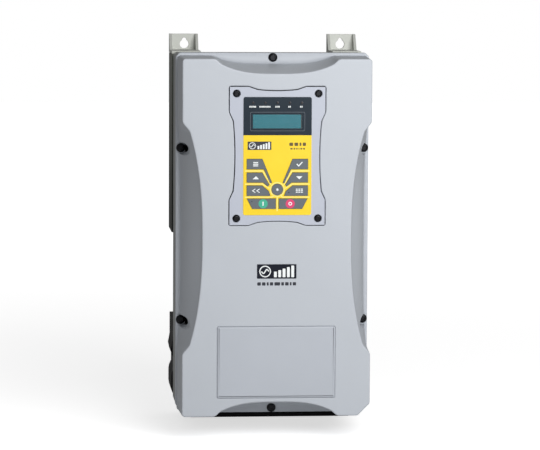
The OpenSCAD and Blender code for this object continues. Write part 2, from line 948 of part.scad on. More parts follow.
module fan_guards() {
    wire = 0.8;
    color("#9a9da0")
        for (x = [-fan_x, fan_x])
            translate([x, fan_y, tray_z[0] - wire]) {
                for (r = [6:7:27])
                    difference() {
                        cylinder(h = 2 * wire, r = r + wire, center = true);
                        cylinder(h = 3 * wire, r = r - wire, center = true);
                    }
                for (a = [45, 135])
                    rotate([0, 0, a])
                        cube([62, 2 * wire, 2 * wire], center = true);
                for (dx = [-1, 1]) for (dy = [-1, 1])
                    translate([dx, dy, 0] * fan_hole_pitch)
                        difference() {
                            cylinder(h = 2 * wire, r = m4_head, center = true);
                            cylinder(h = 3, r = m4_hole, center = true);
                        }
            }
}

module fan_screws() {
    color("#6f7274")
        for (x = [-fan_x, fan_x])
            for (dx = [-1, 1]) for (dy = [-1, 1])
                translate([x + dx * fan_hole_pitch, fan_y + dy * fan_hole_pitch, tray_z[0] - 1.6])
                    mirror([0, 0, 1])
                        button_screw(m4_head, m4_head_h, m4_shank, fan_h);
}

// ---------- Cable entry ----------

module gland_plate() {
    outer = [gland_half[0], gland_half[1]];
    color("#202124")
        difference() {
            translate([0, gland_y, gland_top - gland_depth])
                linear_extrude(gland_depth)
                    cut_rectangle(outer, 5, 5);
            translate([0, gland_y, gland_top - gland_depth - eps])
                linear_extrude(gland_depth - gland_plate_t + eps)
                    cut_rectangle(outer - [2.5, 2.5], 4, 4);
            for (at = entries)
                translate([at[0], gland_y, gland_top - gland_plate_t - 1])
                    cylinder(h = gland_plate_t + 2, r = at[1]);
            for (at = gland_screws_at)
                translate([at[0], gland_y + at[1], gland_top - gland_plate_t - 1])
                    cylinder(h = gland_plate_t + 2, r = m4_hole);
        }
}

module gland_plate_screws() {
    color("#6f7274")
        for (at = gland_screws_at)
            translate([at[0], gland_y + at[1], gland_top - gland_plate_t])
                mirror([0, 0, 1])
                    button_screw(m4_head, m4_head_h, m4_shank, gland_plate_t + 4);
}

module entry_plugs() {
    color("#2c2d30")
        for (at = entries)
            translate([at[0], gland_y, gland_top - gland_plate_t]) {
                translate([0, 0, -4])
                    cylinder(h = 3, r = at[1] + 3, $fn = 6);
                translate([0, 0, -1.5])
                    cylinder(h = gland_plate_t + chassis_wall + 2.5, r = at[1] - 0.2);
                translate([0, 0, gland_plate_t + chassis_wall])
                    cylinder(h = 3, r = at[1] + 2, $fn = 6);
            }
}

module entry_plug_seals() {
    color("#111214")
        for (at = entries)
            translate([at[0], gland_y, gland_top - gland_plate_t - 1])
                difference() {
                    cylinder(h = 1, r = at[1] + 1.6);
                    translate([0, 0, -1])
                        cylinder(h = 3, r = at[1] - 0.1);
                }
}

module earth_stud() {
    color("#b89a55") {
        rod_y(m3_shank, chassis_floor_y - eps, chassis_back_y - 1.2, earth_at);
        rod_y(2.5, chassis_floor_y - 20, chassis_floor_y, earth_at);
        translate([earth_at[0], chassis_floor_y - 5, earth_at[1]])
            rotate([90, 0, 0])
                difference() {
                    cylinder(h = 4, r = 4.6, $fn = 6);
                    translate([0, 0, -1])
                        cylinder(h = 6, r = 2.5);
                }
    }
}

// ---------- Power electronics ----------

module power_board() {
    color("#2f6b3f")
        difference() {
            slab(power_board_y, power_board_y + board_t)
                polygon([
                    for (x = [-1, 1]) for (i = [0, 1])
                    [x * power_board_x, power_board_z[x > 0 ? i : 1 - i]]
                ]);
            for (at = power_standoffs_at)
                rod_y(m3_hole, power_board_y - 1, power_board_y + 3, at);
            for (at = control_standoffs_at)
                rod_y(m3_hole, power_board_y - 1, power_board_y + 3, at);
        }
}

module board_standoffs() {
    color("#c9b26a") {
        for (at = power_standoffs_at)
            difference() {
                union() {
                    rod_y(standoff_r, power_board_y + board_t, chassis_floor_y, at);
                    rod_y(m3_shank, chassis_floor_y - eps, chassis_back_y - 1.2, at);
                }
                rod_y(m3_hole, power_board_y, power_board_y + 9, at);
            }
        for (at = control_standoffs_at)
            difference() {
                union() {
                    rod_y(standoff_r, control_board_y + board_t, power_board_y, at);
                    rod_y(m3_shank, power_board_y - eps, power_board_y + board_t + 3, at);
                }
                rod_y(m3_hole, control_board_y, control_board_y + 9, at);
            }
    }
}

module board_screws() {
    color("#b9bcbf") {
        for (at = power_standoffs_at)
            front_screw(2.8, 1.6, m3_shank, 7, power_board_y, at);
        for (at = control_standoffs_at)
            front_screw(2.8, 1.6, m3_shank, 7, control_board_y, at);
    }
}

module dc_link_capacitors() {
    color("#232a3a")
        for (x = [-51, -17, 17, 51]) for (z = [-12, -46])
            translate([x, power_board_y, z])
                rotate([90, 0, 0])
                    rotate_extrude()
                        polygon([
                            [0, 0], [capacitor_r, 0], [capacitor_r, 3], [capacitor_r - 0.8, 4],
                            [capacitor_r, 5], [capacitor_r, capacitor_h - 1],
                            [capacitor_r - 1, capacitor_h], [0, capacitor_h - 0.3]
                        ]);
}

// A power module on the heatsink, with a pin at each of its corners and sides
module power_module(at, size) {
    back = chassis_back_y;
    front = back - module_h;
    translate([at[0], 0, at[1]]) {
        block([-size[0] / 2, front + 4, -size[1] / 2], [size[0] / 2, back, size[1] / 2]);
        block(
            [-size[0] / 2 + 4, front, -size[1] / 2 + 4],
            [size[0] / 2 - 4, front + 4 + eps, size[1] / 2 - 4]
        );
        for (i = [-3:3]) for (side = [-1, 1])
            rod_y(0.5, power_board_y + board_t, front + eps,
                [i * (size[0] / 2 - 7) / 3, side * (size[1] / 2 - 6)]);
    }
}

module inverter_module() {
    color("#3a3b3d")
        power_module(inverter_at, inverter_size);
}

module rectifier_module() {
    color("#3a3b3d")
        power_module(rectifier_at, rectifier_size);
}

module power_terminal_block() {
    color("#1e3d2c")
        difference() {
            block(
                [-terminal_half_w, power_board_y - terminal_h, terminal_z - 12],
                [terminal_half_w, power_board_y, terminal_z + 12]
            );
            for (i = [0:terminal_count - 1]) {
                x = -terminal_half_w + (i + 0.5) * 2 * terminal_half_w / terminal_count;
                block(
                    [x - 6.5, power_board_y - terminal_h - 1, terminal_z - 13],
                    [x + 6.5, power_board_y - terminal_h + 8, terminal_z + 8]
                );
                rod_y(m4_hole, power_board_y - terminal_h, power_board_y - terminal_h + 18,
                    [x, terminal_z]);
            }
        }
}

module power_terminal_screws() {
    color("#c9c3a0")
        for (i = [0:terminal_count - 1])
            front_screw(m4_head, m4_head_h, m4_shank, 9, power_board_y - terminal_h + 8,
                [-terminal_half_w + (i + 0.5) * 2 * terminal_half_w / terminal_count, terminal_z]);
}

module emc_choke() {
    color("#7a3f22")
        translate([-50, power_board_y, -92])
            rotate([90, 0, 0])
                rotate_extrude()
                    translate([9, 0])
                        polygon([[0, 1.5], [1.5, 0], [9.5, 0], [11, 1.5],
                            [11, 16.5], [9.5, 18], [1.5, 18], [0, 16.5]]);
}

module supply_transformer() {
    color("#c8a53a")
        translate([40, power_board_y, -92]) {
            block([-16, -24, -8], [16, 0, 8]);
            rod_y(12, -22, -2, [0, 0]);
        }
}

module control_board() {
    color("#2f6b3f")
        difference() {
            block(
                [-control_board_x, control_board_y, control_board_z[0]],
                [control_board_x, control_board_y + board_t, control_board_z[1]]
            );
            for (at = control_standoffs_at)
                rod_y(m3_hole, control_board_y - 1, control_board_y + 3, at);
        }
    color("#1f2023")
        block([-10, control_board_y - 5, ribbon_z[0] - 3], [10, control_board_y, ribbon_z[0] + 3]);
}

module control_terminal_block() {
    color("#2d6e46")
        difference() {
            block(
                [-50, control_board_y - 10, control_board_z[0] + 1],
                [50, control_board_y, control_board_z[0] + 12]
            );
            for (i = [0:15])
                rod_y(1.6, control_board_y - 11, control_board_y - 6,
                    [-46.9 + i * 6.25, control_board_z[0] + 6]);
        }
}

// The flat cable between the control board and the keypad, folded once
module ribbon_cable() {
    t = 1.2;
    y0 = control_board_y - 5;
    y1 = keypad_box_back_y;
    color("#9aa0a6")
        translate([8, 0, 0])
            rotate([90, 0, -90])
                linear_extrude(16)
                    polygon([
                        [-y0, ribbon_z[0]], [-y0, ribbon_z[0] + t],
                        [-y0 + 9, ribbon_z[0] + t], [-y1 - 9 + t, ribbon_z[1] + t],
                        [-y1, ribbon_z[1] + t], [-y1, ribbon_z[1]],
                        [-y1 - 9, ribbon_z[1]], [-y0 + 9 - t, ribbon_z[0]]
                    ]);
}

// ---------- Keypad ----------

// Four posts at the corners of the keypad box, between two depths
module keypad_posts(y_front, y_back) {
    for (x = [-29.5, 29.5]) for (z = [-55.5, 55.5])
        rod_y(post_r, y_front, y_back, [x, keypad_z + z]);
}

module keypad_bezel() {
    box_back = keypad_box_back_y;
    color("#b6bcc6") {
        keypad_posts(bezel_y + bezel_plate_t - eps, keypad_board_y);
        difference() {
            union() {
                slab(bezel_y, bezel_rim_y)
                    on_keypad()
                        bezel_outline(0);
                slab(bezel_rim_y - eps, box_back)
                    on_keypad()
                        square(2 * keypad_box_half, center = true);
            }
            slab(bezel_y + bezel_plate_t, box_back + eps)
                on_keypad()
                    square(2 * keypad_box_half - 2 * [keypad_box_wall, keypad_box_wall],
                        center = true);
            slab(bezel_y - eps, bezel_y + bezel_plate_t + eps)
                on_keypad()
                    key_holes();
            rod_y(center_key_r + key_gap, bezel_y - eps, bezel_y + bezel_plate_t + eps,
                [0, keypad_z + center_key_z]);
            slab(bezel_y - eps, bezel_y + window_seat)
                on_keypad() translate(display_at)
                    square(2 * window_half, center = true);
            slab(bezel_y, bezel_y + bezel_plate_t + eps)
                on_keypad() translate(display_at)
                    square(2 * display_half, center = true);
            for (x = lights_x)
                rod_y(light_r + 0.1, bezel_y - eps, bezel_y + bezel_plate_t + eps,
                    [x, keypad_z + lights_z]);
            for (at = keypad_screws_at) {
                rod_y(m4_head + 0.4, bezel_y - eps, bezel_y + 1.4, at);
                rod_y(m4_hole, bezel_y, bezel_rim_y + eps, at);
            }
        }
    }
}

module keypad_gasket() {
    color("#1f2022")
        difference() {
            slab(bezel_rim_y, recess_y)
                on_keypad()
                    difference() {
                        bezel_outline(keypad_gasket_grow);
                        square(2 * keypad_box_half + [1, 1], center = true);
                    }
            for (at = keypad_screws_at)
                rod_y(m4_hole + 0.2, bezel_rim_y - eps, recess_y + eps, at);
        }
}

module keypad_screws() {
    color("#15161a")
        for (at = keypad_screws_at)
            front_screw(m4_head, m4_head_h, m4_shank, 10, bezel_y + 1.4, at);
}

module keypad_overlay() {
    color("#f7df3d")
        difference() {
            slab(overlay_y, bezel_y)
                on_keypad()
                    cut_rectangle([overlay_w / 2, overlay_h / 2], overlay_corner, overlay_corner);
            slab(overlay_y - eps, bezel_y + eps)
                on_keypad() {
                    key_holes();
                    translate(display_at)
                        square(2 * window_half, center = true);
                }
            rod_y(center_key_r + key_gap, overlay_y - eps, bezel_y + eps,
                [0, keypad_z + center_key_z]);
            for (x = lights_x)
                rod_y(light_r + 0.1, overlay_y - eps, bezel_y + eps, [x, keypad_z + lights_z]);
        }
}

module display_window() {
    color("#9fc4c4", 0.4)
        slab(bezel_y + window_seat - window_t, bezel_y + window_seat)
            on_keypad() translate(display_at)
                square(2 * window_half - [0.2, 0.2], center = true);
}

module display_module() {
    front = bezel_y + bezel_plate_t;
    color("#48868c")
        slab(front + 0.1, keypad_board_y)
            on_keypad() translate(display_at)
                square([60, 23], center = true);
    color("#48868c")
        slab(front - 0.9, front + 0.2)
            on_keypad() translate(display_at)
                square(2 * display_half - [0.6, 0.6], center = true);
}

module keypad_board() {
    color("#2f6b3f") {
        slab(keypad_board_y, keypad_board_y + board_t)
            on_keypad()
                square(2 * keypad_box_half - 2 * [keypad_box_wall, keypad_box_wall]
                    - [0.6, 0.6], center = true);
        for (at = plungers)
            translate([at[0], keypad_board_y, keypad_z + at[1]])
                rotate([90, 0, 0])
                    cylinder(h = dome_h, r1 = 3.4, r2 = 2.4);
    }
    color("#e8ece8")
        for (x = lights_x)
            rod_y(light_r, overlay_y, keypad_board_y, [x, keypad_z + lights_z]);
}

module keypad_back_cover() {
    color("#2a2b2e") {
        keypad_posts(keypad_board_y + board_t, keypad_box_back_y - 2 + eps);
        difference() {
            slab(keypad_box_back_y - 2, keypad_box_back_y)
                on_keypad()
                    square(2 * keypad_box_half - 2 * [keypad_box_wall, keypad_box_wall]
                        - [0.4, 0.4], center = true);
            for (i = [-3:3])
                block(
                    [-24, keypad_box_back_y - 3, keypad_z - 44 + i * 3],
                    [24, keypad_box_back_y + 1, keypad_z - 43 + i * 3]
                );
        }
    }
}

module menu_key() {
    outlined_key(menu_outline, menu_plunger);
}

module enter_key() {
    outlined_key(mirrored(menu_outline), [-menu_plunger[0], menu_plunger[1]]);
}

module up_key() {
    outlined_key(up_outline, up_plunger);
}

module down_key() {
    outlined_key(mirrored(up_outline), [-up_plunger[0], up_plunger[1]]);
}

module shift_key() {
    outlined_key(shift_outline, shift_plunger);
}

module function_key() {
    outlined_key(mirrored(shift_outline), [-shift_plunger[0], shift_plunger[1]]);
}

module run_key() {
    outlined_key(run_outline, run_plunger);
}

module stop_key() {
    outlined_key(mirrored(run_outline), [-run_plunger[0], run_plunger[1]]);
}

module center_key() {
    at = [0, keypad_z + center_key_z];
    foot_front = key_back_y - key_foot_t;
    color("dimgray") {
        rod_y(center_key_r, overlay_y - key_rise, foot_front + eps, at);
        rod_y(center_key_r + key_gap + key_foot, foot_front, key_back_y, at);
        rod_y(plunger_r, key_back_y - eps, plunger_tip_y, at);
    }
}

front_cover();
cover_gasket();
cover_screws();
label_panel();
front_badge();
chassis();
left_top_bracket();
right_top_bracket();
bracket_bolts();
left_side_rail();
right_side_rail();
rail_screws();
heatsink();
heatsink_screws();
duct_plate();
duct_plate_screws();
fan_tray();
left_fan_frame();
right_fan_frame();
fan_bushes();
left_fan_rotor();
right_fan_rotor();
fan_guards();
fan_screws();
gland_plate();
gland_plate_screws();
entry_plugs();
entry_plug_seals();
earth_stud();
power_board();
board_standoffs();
board_screws();
dc_link_capacitors();
rectifier_module();
inverter_module();
power_terminal_block();
power_terminal_screws();
emc_choke();
supply_transformer();
control_board();
control_terminal_block();
ribbon_cable();
keypad_bezel();
keypad_gasket();
keypad_screws();
keypad_overlay();
display_window();
display_module();
keypad_board();
keypad_back_cover();
menu_key();
enter_key();
up_key();
down_key();
shift_key();
function_key();
center_key();
run_key();
stop_key();
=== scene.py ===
import math

import bmesh
import bpy
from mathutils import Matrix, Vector
from mathutils.geometry import tessellate_polygon


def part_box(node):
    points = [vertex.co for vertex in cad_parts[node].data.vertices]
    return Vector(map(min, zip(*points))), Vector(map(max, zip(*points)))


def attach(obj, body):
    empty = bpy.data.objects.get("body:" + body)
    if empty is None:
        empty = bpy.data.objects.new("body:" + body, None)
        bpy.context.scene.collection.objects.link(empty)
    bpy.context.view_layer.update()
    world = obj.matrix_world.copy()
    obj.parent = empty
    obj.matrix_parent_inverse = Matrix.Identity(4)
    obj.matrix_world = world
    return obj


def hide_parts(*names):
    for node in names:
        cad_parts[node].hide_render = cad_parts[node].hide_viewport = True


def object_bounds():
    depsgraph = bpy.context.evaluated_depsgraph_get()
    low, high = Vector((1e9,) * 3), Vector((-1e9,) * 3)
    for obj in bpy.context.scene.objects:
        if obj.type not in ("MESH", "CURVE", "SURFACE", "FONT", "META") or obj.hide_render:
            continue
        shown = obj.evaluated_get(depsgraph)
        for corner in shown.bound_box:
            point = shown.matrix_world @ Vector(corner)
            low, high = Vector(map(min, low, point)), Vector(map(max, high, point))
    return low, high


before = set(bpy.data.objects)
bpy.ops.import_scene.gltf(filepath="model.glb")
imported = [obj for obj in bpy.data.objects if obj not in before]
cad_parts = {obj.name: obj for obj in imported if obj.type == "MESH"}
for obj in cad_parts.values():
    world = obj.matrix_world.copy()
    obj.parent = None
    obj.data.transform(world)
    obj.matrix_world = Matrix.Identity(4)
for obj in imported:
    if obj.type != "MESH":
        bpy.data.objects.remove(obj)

# Looks of a variable frequency drive. Sizes are in millimetres, in the frame of the
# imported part: X to the right, Z up, the wall at Y = 0 and the front facing -Y.
MM = 0.001
cad_low, cad_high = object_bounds()


# ---------- Driving sizes ----------

def box_mm(node):
    """The lowest and highest corners of a CAD node, in millimetres."""
    low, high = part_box(node)
    return low / MM, high / MM


cover_low, cover_high = box_mm("front_cover")
FACE_Y = cover_low.y
FLANGE_BACK_Y = cover_high.y
FLANGE_T = 8
FLANGE_Y = FLANGE_BACK_Y - FLANGE_T
FLANGE_HALF = (cover_high.x, cover_high.z)
BASE_HALF = (FLANGE_HALF[0] - 1.7, FLANGE_HALF[1] - 3.2)
FACE_HALF = (FLANGE_HALF[0] - 3.6, FLANGE_HALF[1] - 4.6)
COVER_WALL = 5
CORNER_CHAMFER = 12.6
SCOOP_POWER = (2, 1.3)

# Side scallops: half height, width of the shoulder, and the bites at the face and flange
WAIST_HALF = 119
WAIST_SHOULDER = 8.5
WAIST_BITE = 20.4
SHOULDER_BITE = 7.4
BASE_WAIST_BITE = 3.4
# End scallops, the same way
END_HALF = 63
END_SHOULDER = 4.8
END_BITE = 15
END_SHOULDER_BITE = 5
BASE_END_BITE = 8.4

KEYPAD_Z = 85
BEZEL_HALF = (49, 70.8)
BEZEL_DIP = (4.4, 6.0)
BEZEL_SHOULDER_DIP = (3.2, 4.2)
BEZEL_DIP_HALF = (29.5, 45)
BEZEL_DIP_SLOPE = 9
BEZEL_Y = FACE_Y - 1
RECESS_Y = FACE_Y + 3
RECESS_GAP = 1
OVERLAY_Y = BEZEL_Y - 0.4
OVERLAY_HALF = (35, 60.5)
CASE_HALF = (35.4, 61.4)
KEY_TOP_Y = OVERLAY_Y - 0.8
PRINT_T = 0.04

PANEL_SIZE = (122.6, 74.8)
PANEL_AT = (-0.1, -127.9)
PANEL_PROUD = 0.8
PANEL_RECESS = 1
PANEL_GAP = 0.4


# ---------- Small helpers ----------

def lerp(a, b, t):
    return a + (b - a) * t


def arc(cx, cz, r, start, end, steps):
    """Points on an arc, angles in degrees."""
    return [
        (cx + r * math.cos(math.radians(lerp(start, end, i / steps))),
         cz + r * math.sin(math.radians(lerp(start, end, i / steps))))
        for i in range(steps + 1)
    ]


def circle(cx, cz, r, steps=40):
    return arc(cx, cz, r, 0, 360, steps)[:-1]


def fillet(before, corner, after, r, steps=6):
    """Points that round one corner of an outline."""
    c = Vector(corner)
    a = (Vector(before) - c).normalized()
    b = (Vector(after) - c).normalized()
    half = a.angle(b) / 2
    if half > math.radians(89.5) or r <= 0:
        return [tuple(c)]
    centre = c + (a + b).normalized() * (r / math.sin(half))
    start = c + a * (r / math.tan(half)) - centre
    end = c + b * (r / math.tan(half)) - centre
    first = math.atan2(start.y, start.x)
    turn = (math.atan2(end.y, end.x) - first + math.pi) % (2 * math.pi) - math.pi
    return [
        (centre.x + r * math.cos(first + turn * i / steps),
         centre.y + r * math.sin(first + turn * i / steps))
        for i in range(steps + 1)
    ]


def rounded(points, radius, steps=6):
    """An outline with each corner rounded. The radius is one number or one per corner."""
    n = len(points)
    radii = radius if isinstance(radius, (list, tuple)) else [radius] * n
    result = []
    for i in range(n):
        result += fillet(points[i - 1], points[i], points[(i + 1) % n], radii[i], steps)
    return result


def rectangle(cx, cz, half_w, half_h, r=0.0, steps=6):
    corners = [
        (cx - half_w, cz - half_h), (cx + half_w, cz - half_h),
        (cx + half_w, cz + half_h), (cx - half_w, cz + half_h)
    ]
    return rounded(corners, r, steps) if r else corners


def shifted(points, dx, dz):
    return [(x + dx, z + dz) for x, z in points]


def mirrored(points):
    return [(-x, z) for x, z in reversed(points)]


def offset_loop(points, distance):
    """An outline moved inwards by a distance, along its normals (anticlockwise outline)."""
    n = len(points)
    moved = []
    for i in range(n):
        p = Vector(points[i])
        a = (p - Vector(points[i - 1])).normalized()
        b = (Vector(points[(i + 1) % n]) - p).normalized()
        tangent = (a + b).normalized()
        inward = Vector((-tangent.y, tangent.x))
        stretch = max(0.5, inward.dot(Vector((-a.y, a.x))))
        moved.append(tuple(p + inward * distance / stretch))
    return moved


class Shell:
    """A mesh built from outlines in X and Z at depths along Y, in millimetres."""

    def __init__(self):
        self.bm = bmesh.new()

    def loop(self, points, y):
        return [self.bm.verts.new((x * MM, y * MM, z * MM)) for x, z in points]

    def band(self, low, high, smooth=True, material=0):
        n = len(low)
        for i in range(n):
            j = (i + 1) % n
            face = self.bm.faces.new((low[i], low[j], high[j], high[i]))
            face.smooth = smooth
            face.material_index = material

    def fill(self, *loops, material=0):
        """A flat face with an outline and holes."""
        flat = [v for loop in loops for v in loop]
        flat_points = [[Vector((v.co.x, v.co.z, 0)) for v in loop] for loop in loops]
        for a, b, c in tessellate_polygon(flat_points):
            face = self.bm.faces.new((flat[a], flat[b], flat[c]))
            face.smooth = True
            face.material_index = material

    def mesh(self, name, sharp=40):
        bmesh.ops.recalc_face_normals(self.bm, faces=self.bm.faces)
        mesh = bpy.data.meshes.new(name)
        self.bm.to_mesh(mesh)
        self.bm.free()
        mesh.set_sharp_from_angle(angle=math.radians(sharp))
        return mesh


def piece(name, mesh, materials, body="housing", slot=None, replaces=()):
    """A new object that rides on a body."""
    obj = bpy.data.objects.new(name, mesh)
    bpy.context.scene.collection.objects.link(obj)
    for m in materials if isinstance(materials, (list, tuple)) else [materials]:
        mesh.materials.append(m)
    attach(obj, body)
    if replaces:
        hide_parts(*replaces)
    return obj


def plate_into(shell, loops, y_front, y_back, edge, reach=None, steps=3, material=0):
    """Adds a plate with holes to a shell. Its front edges are rounded over the depth edge."""
    reach = reach or edge
    fronts, backs = [], []
    for k, points in enumerate(loops):
        inward = 1 if k == 0 else -1
        back = shell.loop(points, y_back)
        backs.append(back)
        low = back
        for i in range(steps + 1):
            a = math.radians(90 * i / steps)
            ring = shell.loop(
                offset_loop(points, inward * reach * (1 - math.cos(a))),
                y_front + edge * (1 - math.sin(a))
            )
            shell.band(low, ring, material=material)
            low = ring
        flat = shell.loop(offset_loop(points, inward * (reach + 0.6 * edge)), y_front)
        shell.band(low, flat, material=material)
        fronts.append(flat)
    shell.fill(*fronts, material=material)
    shell.fill(*backs, material=material)


def anticlockwise(points):
    area = sum(
        points[i - 1][0] * points[i][1] - points[i][0] * points[i - 1][1]
        for i in range(len(points))
    )
    return points if area > 0 else list(reversed(points))


def plate(name, loops, y_front, y_back, edge, material, reach=None, **ride):
    shell = Shell()
    plate_into(shell, [anticlockwise(loop) for loop in loops], y_front, y_back, edge, reach)
    return piece(name, shell.mesh(name), material, **ride)


def stroke(points, width):
    """A line of one width along a path, as an outline."""
    left, right = [], []
    for i, p in enumerate(points):
        a = Vector(points[max(i - 1, 0)])
        b = Vector(points[min(i + 1, len(points) - 1)])
        before = (Vector(p) - a).normalized() if i else (b - Vector(p)).normalized()
        after = (b - Vector(p)).normalized() if i < len(points) - 1 else before
        tangent = (before + after).normalized()
        side = Vector((-tangent.y, tangent.x)) * width / 2
        side /= max(0.5, tangent.dot(after))
        left.append(tuple(Vector(p) + side))
        right.append(tuple(Vector(p) - side))
    return left + list(reversed(right))


def prints(name, outlines, y, material, thickness=PRINT_T, **ride):
    """Printed marks: thin flat shapes whose backs lie on the surface at the depth y."""
    shell = Shell()
    for outline in outlines:
        loops = outline if isinstance(outline[0], list) else [outline]
        loops = [anticlockwise(loop) for loop in loops]
        front = [shell.loop(loop, y - thickness) for loop in loops]
        back = [shell.loop(loop, y) for loop in loops]
        for low, high in zip(back, front):
            shell.band(low, high)
        shell.fill(*front)
        shell.fill(*back)
    return piece(name, shell.mesh(name), material, **ride)


# ---------- Materials ----------

def srgb(r, g, b):
    """A colour given as 8-bit sRGB, as linear light."""
    def channel(v):
        v /= 255
        return v / 12.92 if v <= 0.04045 else ((v + 0.055) / 1.055) ** 2.4
    return (channel(r), channel(g), channel(b), 1)


def finish(name, dark, light, rough=(0.4, 0.5), patch=30, grain=900, bump=0.1,
           depth=0.00005, stretch=(1, 1, 1), metal=0.0, coat=0.0, detail=4,
           specular=0.5, painted_shade=None):
    """A procedural finish: mottled colour, grain in the roughness, and a fine bump.

    Painted shade: the fade gives two heights in metres and how dark the colour is painted at the
    lower one, so the colour darkens towards the bottom.
    """
    material = bpy.data.materials.new(name)
    material.use_nodes = True
    tree = material.node_tree
    nodes, links = tree.nodes, tree.links
    shader = nodes["Principled BSDF"]
    place = nodes.new("ShaderNodeTexCoord")
    scaled = nodes.new("ShaderNodeMapping")
    scaled.inputs["Scale"].default_value = stretch
    links.new(place.outputs["Object"], scaled.inputs["Vector"])

    patches = nodes.new("ShaderNodeTexNoise")
    patches.inputs["Scale"].default_value = patch
    patches.inputs["Detail"].default_value = detail
    links.new(scaled.outputs["Vector"], patches.inputs["Vector"])
    grains = nodes.new("ShaderNodeTexNoise")
    grains.inputs["Scale"].default_value = grain
    grains.inputs["Detail"].default_value = 2
    links.new(scaled.outputs["Vector"], grains.inputs["Vector"])

    ramp = nodes.new("ShaderNodeValToRGB")
    ramp.color_ramp.elements[0].position = 0.3
    ramp.color_ramp.elements[0].color = dark
    ramp.color_ramp.elements[1].position = 0.7
    ramp.color_ramp.elements[1].color = light
    mixed = nodes.new("ShaderNodeMath")
    mixed.operation = "MULTIPLY_ADD"
    mixed.inputs[1].default_value = 0.35
    links.new(grains.outputs["Fac"], mixed.inputs[0])
    shifted_patch = nodes.new("ShaderNodeMath")
    shifted_patch.operation = "MULTIPLY"
    shifted_patch.inputs[1].default_value = 0.65
    links.new(patches.outputs["Fac"], shifted_patch.inputs[0])
    links.new(shifted_patch.outputs["Value"], mixed.inputs[2])
    links.new(mixed.outputs["Value"], ramp.inputs["Fac"])
    # Painted shade: scales the colour down towards the lower height.
    if painted_shade:
        height = nodes.new("ShaderNodeSeparateXYZ")
        links.new(place.outputs["Object"], height.inputs["Vector"])
        level = nodes.new("ShaderNodeMapRange")
        level.inputs["From Min"].default_value = painted_shade[0]
        level.inputs["From Max"].default_value = painted_shade[1]
        level.inputs["To Min"].default_value = painted_shade[2]
        links.new(height.outputs["Z"], level.inputs["Value"])
        painted_shade_colour = nodes.new("ShaderNodeVectorMath")
        painted_shade_colour.operation = "SCALE"
        links.new(ramp.outputs["Color"], painted_shade_colour.inputs[0])
        links.new(level.outputs["Result"], painted_shade_colour.inputs["Scale"])
        links.new(painted_shade_colour.outputs["Vector"], shader.inputs["Base Color"])
    else:
        links.new(ramp.outputs["Color"], shader.inputs["Base Color"])

    spread = nodes.new("ShaderNodeMapRange")
    spread.inputs["From Min"].default_value = 0.3
    spread.inputs["From Max"].default_value = 0.7
    spread.inputs["To Min"].default_value = rough[0]
    spread.inputs["To Max"].default_value = rough[1]
    links.new(mixed.outputs["Value"], spread.inputs["Value"])
    links.new(spread.outputs["Result"], shader.inputs["Roughness"])

    if bump:
        relief = nodes.new("ShaderNodeBump")
        relief.inputs["Strength"].default_value = bump
        relief.inputs["Distance"].default_value = depth
        links.new(grains.outputs["Fac"], relief.inputs["Height"])
        links.new(relief.outputs["Normal"], shader.inputs["Normal"])

    shader.inputs["Metallic"].default_value = metal
    shader.inputs["Coat Weight"].default_value = coat
    shader.inputs["Coat Roughness"].default_value = 0.15
    shader.inputs["Specular IOR Level"].default_value = specular
    return material


def around(r, g, b, spread):
    """A darker and a lighter colour round one sRGB colour."""
    low = srgb(r, g, b)
    return (
        tuple(c * (1 - spread) for c in low[:3]) + (1,),
        tuple(min(1, c * (1 + spread)) for c in low[:3]) + (1,)
    )


def ink(name, *colour, rough=(0.35, 0.45), grain=3000):
    """A thin print."""
    return finish(name, *around(*colour), rough=rough, patch=200, grain=grain, bump=0.1,
                  depth=0.00001)


cover_paint = finish("cover_paint", *around(185, 190, 197, 0.022), rough=(0.40, 0.50),
                     patch=14, grain=1400, bump=0.35, depth=0.00003)
panel_paint = finish("panel_paint", *around(180, 185, 193, 0.025), rough=(0.42, 0.52),
                     patch=18, grain=1200, bump=0.3, depth=0.00003)
bezel_paint = finish("bezel_paint", *around(182, 187, 199, 0.02), rough=(0.36, 0.46),
                     patch=20, grain=1500, bump=0.25, depth=0.00003)
film_yellow = finish("film_yellow", *around(246, 210, 22, 0.03), rough=(0.30, 0.40),
                     patch=40, grain=2600, bump=0.3, depth=0.00002, coat=0.1)
film_pale = finish("film_pale", *around(252, 232, 122, 0.03), rough=(0.32, 0.42),
                   patch=60, grain=2600, bump=0.2, depth=0.00002)
film_dark = finish("film_dark", *around(27, 40, 51, 0.06), rough=(0.3, 0.4),
                   patch=40, grain=2600, bump=0.25, depth=0.00002, specular=0.2)
film_line = ink("film_line", 84, 94, 103, 0.04)
print_white = ink("print_white", 236, 240, 240, 0.03, rough=(0.4, 0.5))
print_navy = ink("print_navy", 34, 37, 48, 0.08)
print_brown = ink("print_brown", 92, 76, 24, 0.06)
disc_green = ink("disc_green", 60, 172, 140, 0.04, grain=2600)
disc_red = ink("disc_red", 216, 58, 108, 0.04, grain=2600)
badge_film = finish("badge_film", *around(22, 26, 38, 0.08), rough=(0.25, 0.34),
                    patch=60, grain=2400, bump=0.15, depth=0.00002, specular=0.2)
key_rubber = finish("key_rubber", *around(94, 101, 107, 0.06), rough=(0.5, 0.62),
                    patch=90, grain=2200, bump=0.5, depth=0.00004)
lcd_back = finish("lcd_back", *around(34, 124, 138, 0.03), rough=(0.2, 0.26),
                  patch=60, grain=3200, bump=0.0)
lcd_cell = finish("lcd_cell", *around(31, 117, 131, 0.03), rough=(0.2, 0.26),
                  patch=90, grain=3200, bump=0.0)
lcd_edge = finish("lcd_edge", *around(30, 38, 44, 0.06), rough=(0.3, 0.4),
                  patch=60, grain=2200, bump=0.1)
lamp_lens = finish("lamp_lens", *around(38, 35, 40, 0.1), rough=(0.12, 0.2),
                   patch=300, grain=2400, bump=0.0, coat=0.5)
black_oxide = finish("black_oxide", *around(22, 23, 27, 0.2), rough=(0.26, 0.4),
                     patch=300, grain=2400, bump=0.2, depth=0.00002, metal=0.6)
